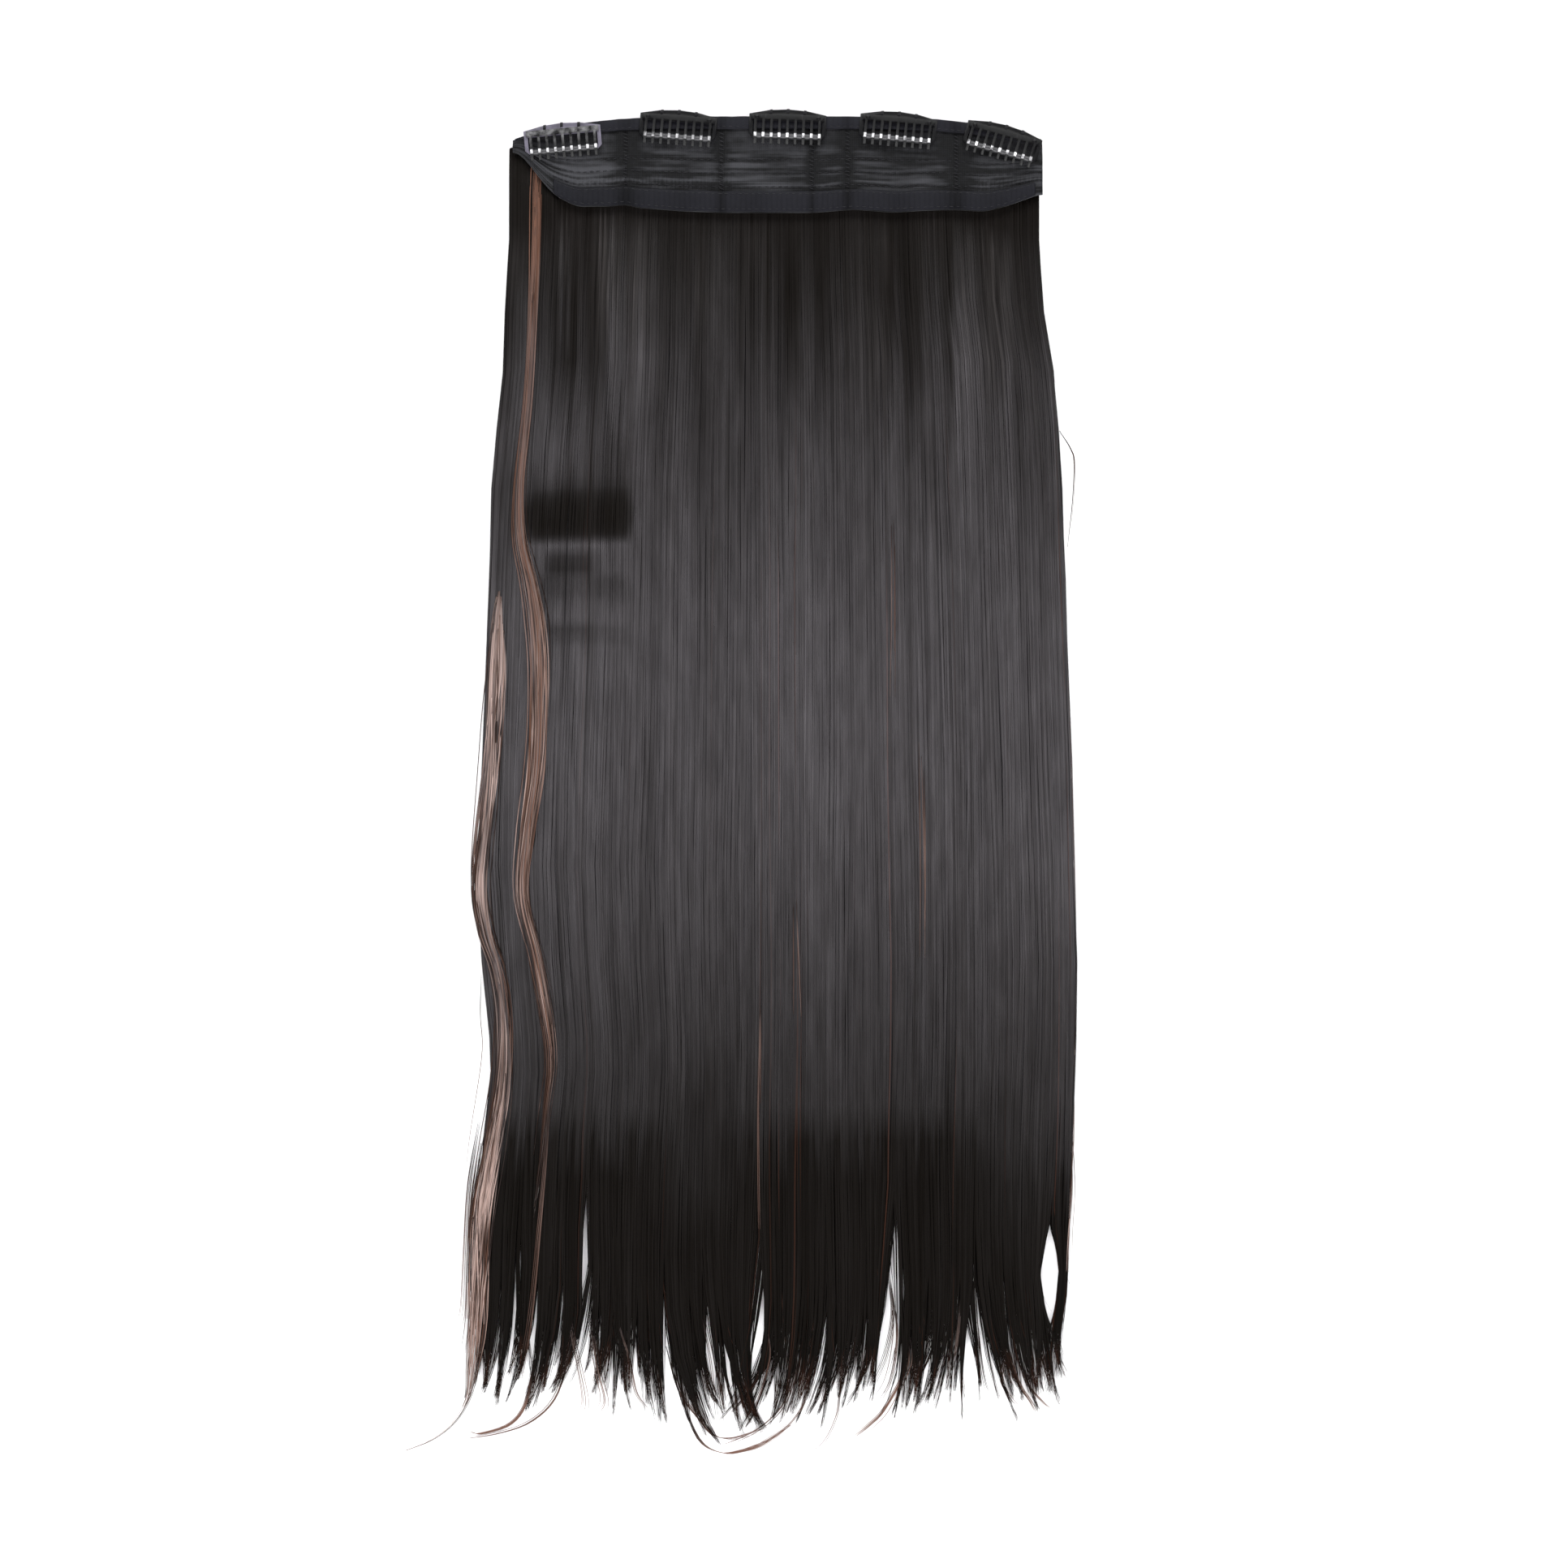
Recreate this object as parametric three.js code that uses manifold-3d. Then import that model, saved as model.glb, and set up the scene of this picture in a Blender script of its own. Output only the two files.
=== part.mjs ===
// A clip-in hair extension: four rows of long straight hair sewn under an arched lace band, two thin
// chestnut locks lying on the hair, and five snap comb clips along the top of the band.
// It lies flat with its clips up. Millimetres and degrees: X runs along the band, Y from the tips to the
// band, and Z up from the table.
import * as THREE from "three";
import { mergeVertices } from "three/addons/utils/BufferGeometryUtils.js";
import Module from "manifold-3d";

const wasm = await Module();
wasm.setup();

// Clearance kept between pieces that touch or are sewn together
const GAP = 0.3;

// Lace band
const BAND_WIDTH = 248;
const BAND_HEIGHT = 46;
const ARCH_DROP = 11.4; // how far the ends of the band fall below its middle
const CLOTH = 1; // wall of the lace, the binding and the hem
const PLEAT_RISE = 0.5; // pleat that stands up over each sewn row
const BINDING_WIDTH = 6;
const HEM_WIDTH = 10;

// Hair
const HAIR_LENGTH = 612; // from the middle of the top edge to the longest tip
const LOCK_LENGTH = 97; // the last stretch, which hangs in separate locks
const ROW_THICKNESS = 2.1; // one row where it is fullest
const ROW_INSET = 3; // from the top edge down to the first sewn row
const LOCK_CROWN = 0.5; // how far the middle of a lock of the top row stands up
const LOCK_TIP = 2.4; // width of a lock at its tip
const CHESTNUT_WIDTH = 6;
const CHESTNUT_THICKNESS = 1.2;
const CHESTNUT_TIP = 1.6;

// Snap comb clips
const CLIP_LENGTH = 36;
const CLIP_STEEL = 0.7; // sheet of the frame
const CLIP_PROUD = 3; // how far the cap of a clip stands above the edge of the band
const CAP_RISE = 2.5; // bow of the cap between its ends and its middle
const PLATE_DEPTH = 5.6; // from the top of the cap to the window
const ARM_WIDTH = 1.8;
const BAR_WIDTH = 1.6;
const BAR_CLEAR = 2.5; // from the binding down to the sleeve
const SEW_HOLE = 1.2;
const SEW_HOLE_INSET = 1.4; // from the edge of the cap to the middle of a hole
const SEW_HOLE_SPACING = 8;
const SLEEVE_RADIUS = 1.4;
const SLEEVE_PLAY = 0.15; // between the bar and the bore of the sleeve
const COMB_STEEL = 0.6;
const STRIP_DOWN = 2.8; // from the top of the cap to the back edge of the comb
const STRIP_WIDTH = 2.6;
const STRIP_INSET = 1; // from the end of the clip to the end of the comb
const TOOTH_COUNT = 9;
const TOOTH_WIDTH = 1.2;
const TOOTH_REACH = 4; // from the middle of the bar to the tip of a tooth
const RIVET_RADIUS = 1;
const RIVET_HEIGHT = 0.5;
const RIVET_INSET = 2.6; // from the end of the comb to the middle of a rivet

// Lower edge of the band: depth as a share of the full height, across as a share of half the width
const BASE_EDGE = [
  { across: -1, depth: 0.1 },
  { across: -0.953, depth: 0.22 },
  { across: -0.916, depth: 0.4 },
  { across: -0.843, depth: 0.69 },
  { across: -0.754, depth: 0.86 },
  { across: -0.613, depth: 0.9 },
  { across: -0.576, depth: 0.88 },
  { across: -0.53, depth: 0.93 },
  { across: -0.36, depth: 0.98 },
  { across: -0.208, depth: 1 },
  { across: 0.138, depth: 1 },
  { across: 0.288, depth: 0.965 },
  { across: 0.435, depth: 0.99 },
  { across: 0.674, depth: 0.92 },
  { across: 0.778, depth: 0.9 },
  { across: 0.867, depth: 0.79 },
  { across: 0.93, depth: 0.68 },
  { across: 1, depth: 0.55 },
];

// Seams between the lace panels, as shares of half the width
const PANEL_SEAMS = [-1, -0.573, -0.211, 0.129, 0.264, 0.674, 1];

// Sewn rows between the binding and the hem: where each one runs, as a share of that space
const TRACKS = [{ at: 0.45 }, { at: 0.66 }, { at: 0.88 }];

// Hair from the hem (along 0) to the roots of the locks (along 1): both edges as shares of half the
// band's width, and the thickness of a row as a share of its fullest
const FALL = [
  { along: 0, left: 1.01, right: 0.985, thick: 0.6 },
  { along: 0.07, left: 1.025, right: 0.999, thick: 0.92 },
  { along: 0.15, left: 1.032, right: 1.045, thick: 1 },
  { along: 0.23, left: 1.062, right: 1.062, thick: 1 },
  { along: 0.31, left: 1.081, right: 1.075, thick: 0.99 },
  { along: 0.43, left: 1.091, right: 1.091, thick: 0.96 },
  { along: 0.51, left: 1.107, right: 1.103, thick: 0.93 },
  { along: 0.6, left: 1.12, right: 1.112, thick: 0.9 },
  { along: 0.68, left: 1.132, right: 1.121, thick: 0.86 },
  { along: 0.76, left: 1.1, right: 1.127, thick: 0.81 },
  { along: 0.84, left: 1.07, right: 1.119, thick: 0.75 },
  { along: 0.92, left: 1.1, right: 1.108, thick: 0.68 },
  { along: 1, left: 1.12, right: 1.1, thick: 0.6 },
];
const SEWN_THICK = 0.45; // thickness where a row is sewn, as a share of its fullest
const TIP_THICK = 0.25;
const EDGE_THICK = 0.6; // thickness at the two side edges of a row, as a share of its middle
const EDGE_SHARE = 0.88; // where a row starts to thin towards its side edges
const EDGE_FADE = 0.51; // place along the fall from which the side edges fill up again
const ARCH_FADE = 0.4; // share of the fall over which the arch of the band dies out

// Locks at the end of a row, from left to right: where each one ends across the row, how far its tip
// leans from its middle as a share of half its width, and its length as a share of the longest
const INNER_LOCKS = [
  { to: -0.88, lean: 0.1, drop: 0.74 },
  { to: -0.7, lean: -0.3, drop: 0.8 },
  { to: -0.55, lean: 0.35, drop: 0.74 },
  { to: -0.36, lean: 0.2, drop: 0.92 },
  { to: -0.22, lean: -0.4, drop: 0.96 },
  { to: -0.05, lean: 0.3, drop: 0.98 },
  { to: 0.12, lean: -0.2, drop: 0.94 },
  { to: 0.25, lean: 0.3, drop: 0.9 },
  { to: 0.37, lean: -0.45, drop: 0.84 },
  { to: 0.5, lean: 0.5, drop: 0.76 },
  { to: 0.62, lean: -0.2, drop: 0.78 },
  { to: 0.76, lean: 0.4, drop: 0.72 },
  { to: 0.88, lean: 0.1, drop: 0.78 },
  { to: 1, lean: -0.6, drop: 0.66 },
];
const OUTER_LOCKS = [
  { to: -0.88, lean: -0.2, drop: 0.8 },
  { to: -0.78, lean: 0.4, drop: 0.78 },
  { to: -0.64, lean: -0.35, drop: 0.82 },
  { to: -0.46, lean: 0.3, drop: 0.86 },
  { to: -0.3, lean: 0.25, drop: 0.98 },
  { to: -0.15, lean: -0.5, drop: 1 },
  { to: 0.02, lean: -0.3, drop: 0.97 },
  { to: 0.18, lean: 0.2, drop: 0.95 },
  { to: 0.37, lean: -0.5, drop: 0.9 },
  { to: 0.56, lean: 0.35, drop: 0.8 },
  { to: 0.69, lean: -0.1, drop: 0.84 },
  { to: 0.88, lean: 0.35, drop: 0.8 },
  { to: 1, lean: -0.8, drop: 0.62 },
];
const LOCK_STEPS = [0.35, 0.62, 0.84, 1];
const LOCK_TAPER = 2.2; // power by which a lock narrows: it stays full, then closes at its tip

const ROWS = [
  { name: "hair_row_1", locks: INNER_LOCKS, crown: 0 },
  { name: "hair_row_2", locks: OUTER_LOCKS, crown: 0 },
  { name: "hair_row_3", locks: INNER_LOCKS, crown: 0 },
  { name: "hair_row_4", locks: OUTER_LOCKS, crown: LOCK_CROWN },
];

// Routes of the chestnut locks: down as a share of the hair's length, across as a share of half the
// band's width, and width as a share of the lock's fullest
const CHESTNUT_INNER = [
  { down: 0.085, across: -0.915, wide: 0.7 },
  { down: 0.13, across: -0.93, wide: 0.9 },
  { down: 0.22, across: -0.945, wide: 1 },
  { down: 0.307, across: -0.97, wide: 1 },
  { down: 0.35, across: -0.915, wide: 0.9 },
  { down: 0.438, across: -0.892, wide: 0.8 },
  { down: 0.531, across: -0.925, wide: 0.7 },
  { down: 0.593, across: -0.94, wide: 0.7 },
  { down: 0.655, across: -0.9, wide: 0.6 },
  { down: 0.717, across: -0.865, wide: 0.6 },
  { down: 0.79, across: -0.905, wide: 0.5 },
  { down: 0.835, across: -0.93, wide: 0.3 },
];
const CHESTNUT_OUTER = [
  { down: 0.37, across: -1.03, wide: 0.4 },
  { down: 0.438, across: -1.05, wide: 0.9 },
  { down: 0.5, across: -1.08, wide: 1 },
  { down: 0.593, across: -1.105, wide: 1 },
  { down: 0.643, across: -1.075, wide: 1 },
  { down: 0.705, across: -1.045, wide: 1 },
  { down: 0.779, across: -1.065, wide: 1 },
  { down: 0.841, across: -1.1, wide: 1 },
  { down: 0.903, across: -1.125, wide: 0.8 },
  { down: 0.955, across: -1.145, wide: 0.5 },
];
// Where the outer chestnut lock runs past the tips it lies on the table, in one thin curl
const CHESTNUT_CURL = [
  { down: 0.984, across: -1.174 },
  { down: 1.002, across: -1.225 },
  { down: 1.013, across: -1.3 },
  { down: 1.019, across: -1.4 },
];

// Clips along the band: middle as a share of half the width, turn, and how proud of the edge each one
// stands as a share of the proudest
const CLIPS = [
  { across: -0.815, turn: 5.5, proud: 0.5 },
  { across: -0.37, turn: -4.5, proud: 0.93 },
  { across: 0.04, turn: -2, proud: 1 },
  { across: 0.46, turn: -5.5, proud: 0.77 },
  { across: 0.865, turn: -16, proud: 0.57 },
];

const MATERIALS = {
  hair: new THREE.MeshStandardMaterial({ color: 0x2e2827, roughness: 0.45, metalness: 0 }),
  chestnut: new THREE.MeshStandardMaterial({ color: 0x7f5f50, roughness: 0.45, metalness: 0 }),
  lace: new THREE.MeshStandardMaterial({ color: 0x26282c, roughness: 0.8, metalness: 0 }),
  ribbon: new THREE.MeshStandardMaterial({ color: 0x1e2024, roughness: 0.6, metalness: 0 }),
  frame: new THREE.MeshStandardMaterial({ color: 0x232327, roughness: 0.35, metalness: 0.6 }),
  comb: new THREE.MeshStandardMaterial({ color: 0x4a4a4d, roughness: 0.25, metalness: 0.9 }),
  sleeve: new THREE.MeshStandardMaterial({ color: 0x1b1b1d, roughness: 0.5, metalness: 0 }),
};

// Values worked out from the driving dimensions
const HALF_BAND = BAND_WIDTH / 2;
const LOCK_ROOT = HAIR_LENGTH - LOCK_LENGTH;
const ROOT_THICK = FALL.at(-1).thick;
const SEWN_AT = [ROW_INSET, ...TRACKS.map((track) => trackDistance(track.at))];
const PLATE_SEAT = 2 * (CLOTH + GAP); // a clip lies on the binding, which lies on the lace
const BAR_DOWN = CLIP_PROUD + BINDING_WIDTH + BAR_CLEAR + SLEEVE_RADIUS;
const FRAME_DEPTH = BAR_DOWN + BAR_WIDTH / 2;
const SLEEVE_BORE = Math.hypot(BAR_WIDTH, CLIP_STEEL) / 2 + SLEEVE_PLAY;
const STRIP_LOW = CLIP_STEEL + GAP;

// Value of a column of a table at a place between its rows, which are in rising order of key
function between(table, key, column, at) {
  const last = table.length - 1;
  let i = 0;
  while (i < last - 1 && table[i + 1][key] < at) i += 1;
  const share = (at - table[i][key]) / (table[i + 1][key] - table[i][key]);
  return THREE.MathUtils.lerp(table[i][column], table[i + 1][column], THREE.MathUtils.clamp(share, 0, 1));
}

// Distance from the top edge down to a sewn row
function trackDistance(share) {
  return THREE.MathUtils.lerp(BINDING_WIDTH, BAND_HEIGHT - HEM_WIDTH, share);
}

// A closed surface gathered face by face
class Skin {
  constructor() {
    this.corners = [];
  }

  quad(a, b, c, d) {
    for (const point of [a, b, c, a, c, d]) this.corners.push(...point);
  }

  // Top, bottom and side walls between two neighbouring sections, each a list of { top, bottom } posts
  // that runs from left to right
  span(section, next, walls = { left: true, right: true }) {
    for (let i = 0; i + 1 < section.length; i += 1) {
      this.quad(section[i].top, next[i].top, next[i + 1].top, section[i + 1].top);
      this.quad(section[i].bottom, section[i + 1].bottom, next[i + 1].bottom, next[i].bottom);
    }
    const [left, nextLeft] = [section[0], next[0]];
    const [right, nextRight] = [section.at(-1), next.at(-1)];
    if (walls.left) this.quad(left.top, left.bottom, nextLeft.bottom, nextLeft.top);
    if (walls.right) this.quad(nextRight.top, nextRight.bottom, right.bottom, right.top);
  }

  // Wall over the first section, or over the last one
  cap(section, isLast) {
    for (let i = 0; i + 1 < section.length; i += 1) {
      const [a, b] = isLast ? [section[i], section[i + 1]] : [section[i + 1], section[i]];
      this.quad(a.top, a.bottom, b.bottom, b.top);
    }
  }

  geometry() {
    const loose = new THREE.BufferGeometry();
    loose.setAttribute("position", new THREE.Float32BufferAttribute(this.corners, 3));
    return mergeVertices(loose, 1e-4);
  }
}

// A plain slab through a list of sections
function slab(sections) {
  const skin = new Skin();
  skin.cap(sections[0], false);
  for (let j = 0; j + 1 < sections.length; j += 1) skin.span(sections[j], sections[j + 1]);
  skin.cap(sections.at(-1), true);
  return skin.geometry();
}

function piece(name, geometry, material) {
  const mesh = new THREE.Mesh(geometry, material);
  mesh.name = name;
  return mesh;
}

function toSolid(geometry) {
  const bare = new THREE.BufferGeometry();
  const loose = geometry.index ? geometry.toNonIndexed() : geometry;
  bare.setAttribute("position", loose.getAttribute("position"));
  const merged = mergeVertices(bare, 1e-4);
  return new wasm.Manifold(
    new wasm.Mesh({
      numProp: 3,
      vertProperties: merged.getAttribute("position").array,
      triVerts: new Uint32Array(merged.index.array),
    }),
  );
}

// Several closed geometries that run into each other, as one
function fuse(geometries) {
  const [first, ...rest] = geometries.map(toSolid);
  const mesh = rest.reduce((whole, next) => whole.add(next), first).getMesh();
  const fused = new THREE.BufferGeometry();
  fused.setAttribute("position", new THREE.Float32BufferAttribute(mesh.vertProperties, 3));
  fused.setIndex(new THREE.BufferAttribute(mesh.triVerts, 1));
  fused.computeVertexNormals();
  return fused;
}

// Hair: places down the hair are distances from the top edge, places across it run from -1 to 1

function alongFall(down) {
  return (down - BAND_HEIGHT) / (LOCK_ROOT - BAND_HEIGHT);
}

// Thickness of a row in its middle
function rowThickness(down) {
  if (down < BAND_HEIGHT) {
    return ROW_THICKNESS * THREE.MathUtils.lerp(SEWN_THICK, FALL[0].thick, down / BAND_HEIGHT);
  }
  if (down > LOCK_ROOT) {
    return ROW_THICKNESS * THREE.MathUtils.lerp(ROOT_THICK, TIP_THICK, (down - LOCK_ROOT) / LOCK_LENGTH);
  }
  return ROW_THICKNESS * between(FALL, "along", "thick", alongFall(down));
}

// Share of that thickness which is left towards the side edges. The locks are cut from a flat row.
function edgeShare(across, down) {
  const fade = THREE.MathUtils.clamp((alongFall(down) - EDGE_FADE) / (1 - EDGE_FADE), 0, 1);
  const outward = THREE.MathUtils.clamp((Math.abs(across) - EDGE_SHARE) / (1 - EDGE_SHARE), 0, 1);
  return THREE.MathUtils.lerp(THREE.MathUtils.lerp(1, EDGE_THICK, outward), 1, fade);
}

// Height of the top of so many rows piled on the table
function pileTop(rows, across, down) {
  return rows * (rowThickness(down) * edgeShare(across, down) + GAP) - GAP;
}

function hairX(across, down) {
  const side = across < 0 ? "left" : "right";
  return HALF_BAND * across * between(FALL, "along", side, alongFall(down));
}

function hairY(across, down) {
  const fade = THREE.MathUtils.clamp(1 - alongFall(down) / ARCH_FADE, 0, 1);
  return -(down + ARCH_DROP * across ** 4 * fade);
}

// One post of a row: the points where a vertical line meets its top and its underside
function rowPost(x, y, row, crown, thickness) {
  const low = row * (thickness + GAP);
  return { top: [x, y, low + thickness + crown], bottom: [x, y, low] };
}

function rowSection(row, columns, down) {
  const crownShare = THREE.MathUtils.clamp(alongFall(down) / FALL[1].along, 0, 1);
  return columns.map((column) =>
    rowPost(
      hairX(column.across, down),
      hairY(column.across, down),
      row,
      column.crown * crownShare,
      rowThickness(down) * edgeShare(column.across, down),
    ),
  );
}

// Sections of one lock below the root section that it shares with its row
function lockSections(row, root, lock, crown) {
  const [left, right] = [root[0].top[0], root.at(-1).top[0]];
  const middle = (left + right) / 2;
  const tip = middle + (lock.lean * (right - left - LOCK_TIP)) / 2;
  return LOCK_STEPS.map((step) => {
    const closing = step ** LOCK_TAPER;
    const down = LOCK_ROOT + step * lock.drop * LOCK_LENGTH;
    return root.map((_, i) => {
      const share = i / (root.length - 1);
      const x = THREE.MathUtils.lerp(
        THREE.MathUtils.lerp(left, right, share),
        tip + (share - 0.5) * LOCK_TIP,
        closing,
      );
      const isMiddle = i > 0 && i < root.length - 1;
      return rowPost(x, -down, row, isMiddle ? crown * (1 - closing) : 0, rowThickness(down));
    });
  });
}

function hairRow({ name, locks, crown }, row) {
  const edges = [-1, ...locks.map((lock) => lock.to)];
  const columns = edges.flatMap((across, i) => {
    const edge = { across, crown: 0 };
    if (!crown || i === edges.length - 1) return [edge];
    return [edge, { across: (across + edges[i + 1]) / 2, crown }];
  });
  const stations = [
    ...SEWN_AT.slice(row),
    ...FALL.map(({ along }) => THREE.MathUtils.lerp(BAND_HEIGHT, LOCK_ROOT, along)),
  ];
  const sections = stations.map((down) => rowSection(row, columns, down));
  const skin = new Skin();
  skin.cap(sections[0], false);
  for (let j = 0; j + 1 < sections.length; j += 1) skin.span(sections[j], sections[j + 1]);

  const columnsPerLock = crown ? 2 : 1;
  locks.forEach((lock, i) => {
    const root = sections.at(-1).slice(i * columnsPerLock, (i + 1) * columnsPerLock + 1);
    const below = lockSections(row, root, lock, crown);
    [root, ...below.slice(0, -1)].forEach((section, j) => skin.span(section, below[j]));
    skin.cap(below.at(-1), true);
  });
  return piece(name, skin.geometry(), MATERIALS.hair);
}

// A chestnut lock lies on the top row and tilts with it
function chestnutPost(x, down) {
  const across = THREE.MathUtils.clamp(x / hairX(-1, down), 0, 1);
  const low = pileTop(ROWS.length, across, down) + LOCK_CROWN + 2 * GAP;
  const y = hairY(across, down);
  return { top: [x, y, low + CHESTNUT_THICKNESS], bottom: [x, y, low] };
}

function chestnutSections(route) {
  return route.map(({ down, across, wide }) => {
    const distance = down * HAIR_LENGTH;
    const half = (CHESTNUT_WIDTH * wide) / 2;
    return [-half, half].map((side) => chestnutPost(across * HALF_BAND + side, distance));
  });
}

// Sections of the curl, square to its path and flat on the table
function curlSections(from) {
  const path = CHESTNUT_CURL.map(({ down, across }) =>
    new THREE.Vector2(across * HALF_BAND, -down * HAIR_LENGTH),
  );
  const points = [from, ...path];
  return path.map((point, i) => {
    const next = points[i + 2] ?? point;
    const forward = next.clone().sub(points[i]).normalize();
    const side = new THREE.Vector2(-forward.y, forward.x).multiplyScalar(CHESTNUT_TIP / 2);
    const thickness = CHESTNUT_THICKNESS * TIP_THICK * 2;
    return [-1, 1].map((sign) => {
      const { x, y } = point.clone().addScaledVector(side, sign);
      return { top: [x, y, thickness], bottom: [x, y, 0] };
    });
  });
}

function chestnutLocks() {
  const outer = chestnutSections(CHESTNUT_OUTER);
  const end = CHESTNUT_OUTER.at(-1);
  const from = new THREE.Vector2(end.across * HALF_BAND, -end.down * HAIR_LENGTH);
  return [
    piece("chestnut_lock_inner", slab(chestnutSections(CHESTNUT_INNER)), MATERIALS.chestnut),
    piece("chestnut_lock_outer", slab([...outer, ...curlSections(from)]), MATERIALS.chestnut),
  ];
}

// Band: it lies in one plane of its own, with the lace's underside at height 0

function bandPoint(across, down, height) {
  const depth = between(BASE_EDGE, "across", "depth", across);
  return [across * HALF_BAND, -(ARCH_DROP * across ** 4 + down * depth), height];
}

// A layer of cloth over a stretch of the band. Lines holds the distances down and the height of the
// cloth's face there.
function bandLayer(name, columns, lines, low, material) {
  const sections = lines.map(({ down, rise }) =>
    columns.map((across) => ({
      top: bandPoint(across, down, low + CLOTH + rise),
      bottom: bandPoint(across, down, low),
    })),
  );
  return piece(name, slab(sections), material);
}

// Places of the band's edge table between two ends
function bandColumns(from, to) {
  const inside = BASE_EDGE.map(({ across }) => across).filter((across) => across > from && across < to);
  return [from, ...inside, to];
}

function lacePanels() {
  const sewn = TRACKS.map(({ at }) => at);
  const valleys = sewn.map((at, i) => (at + (sewn[i + 1] ?? 1)) / 2);
  valleys[sewn.length - 1] = 1;
  const lines = [
    { down: 0, rise: 0 },
    { down: trackDistance(sewn[0] / 2), rise: 0 },
    ...sewn.flatMap((at, i) => [
      { down: trackDistance(at), rise: PLEAT_RISE },
      { down: trackDistance(valleys[i]), rise: 0 },
    ]),
    { down: BAND_HEIGHT, rise: 0 },
  ];
  const halfSeam = GAP / BAND_WIDTH;
  return PANEL_SEAMS.slice(0, -1).map((seam, i) => {
    const columns = bandColumns(seam + halfSeam, PANEL_SEAMS[i + 1] - halfSeam);
    return bandLayer(`lace_panel_${i + 1}`, columns, lines, 0, MATERIALS.lace);
  });
}

function ribbons() {
  const overLace = CLOTH + GAP;
  const binding = [
    { down: 0, rise: 0 },
    { down: BINDING_WIDTH, rise: 0 },
  ];
  const hem = [
    { down: BAND_HEIGHT - HEM_WIDTH, rise: 0 },
    { down: BAND_HEIGHT, rise: 0 },
  ];
  const hemEnds = [-0.843, 0.97];
  return [
    bandLayer("top_binding", bandColumns(-0.99, 0.995), binding, overLace, MATERIALS.ribbon),
    bandLayer("hem_band", bandColumns(...hemEnds), hem, overLace, MATERIALS.ribbon),
  ];
}

// Clip: X along it, Y towards the top edge with 0 at the top of the cap, Z off the band

function clipFrame(name) {
  const half = CLIP_LENGTH / 2;
  const shape = new THREE.Shape();
  shape.moveTo(-half, -CAP_RISE);
  shape.lineTo(-half, -FRAME_DEPTH + ARM_WIDTH);
  shape.lineTo(-half + ARM_WIDTH, -FRAME_DEPTH);
  shape.lineTo(half - ARM_WIDTH, -FRAME_DEPTH);
  shape.lineTo(half, -FRAME_DEPTH + ARM_WIDTH);
  shape.lineTo(half, -CAP_RISE);
  shape.quadraticCurveTo(0, CAP_RISE, -half, -CAP_RISE);

  const windowHalf = half - ARM_WIDTH;
  const windowFoot = -BAR_DOWN + BAR_WIDTH / 2;
  const opening = new THREE.Path();
  opening.moveTo(-windowHalf, -PLATE_DEPTH);
  opening.lineTo(windowHalf, -PLATE_DEPTH);
  opening.lineTo(windowHalf, windowFoot);
  opening.lineTo(-windowHalf, windowFoot);
  opening.closePath();
  shape.holes.push(opening);
  for (const side of [-1, 0, 1]) {
    const x = side * SEW_HOLE_SPACING;
    const y = -CAP_RISE * (x / half) ** 2 - SEW_HOLE_INSET;
    shape.holes.push(new THREE.Path().absarc(x, y, SEW_HOLE / 2, 0, 2 * Math.PI, true));
  }
  const plate = new THREE.ExtrudeGeometry(shape, {
    depth: CLIP_STEEL,
    bevelEnabled: false,
    curveSegments: 4,
  });
  return piece(name, plate, MATERIALS.frame);
}

// Profile across the clip, given as distance down and height, drawn out along X
function alongClip(profile, length) {
  const shape = new THREE.Shape(profile.map(({ down, height }) => new THREE.Vector2(-down, height)));
  const drawn = new THREE.ExtrudeGeometry(shape, { depth: length, bevelEnabled: false });
  drawn.translate(0, 0, -length / 2);
  const [x, y, z] = [
    new THREE.Vector3(1, 0, 0),
    new THREE.Vector3(0, 1, 0),
    new THREE.Vector3(0, 0, 1),
  ];
  return drawn.applyMatrix4(new THREE.Matrix4().makeBasis(y, z, x));
}

function clipSleeve(name) {
  const ring = new THREE.Shape().absarc(0, 0, SLEEVE_RADIUS, 0, 2 * Math.PI, false);
  ring.holes.push(new THREE.Path().absarc(0, 0, SLEEVE_BORE, 0, 2 * Math.PI, true));
  const length = CLIP_LENGTH - 2 * (ARM_WIDTH + GAP);
  const tube = new THREE.ExtrudeGeometry(ring, { depth: length, bevelEnabled: false, curveSegments: 6 });
  const sleeve = piece(name, tube, MATERIALS.sleeve);
  sleeve.rotation.y = Math.PI / 2;
  sleeve.position.set(-length / 2, -BAR_DOWN, CLIP_STEEL / 2);
  return sleeve;
}

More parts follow.
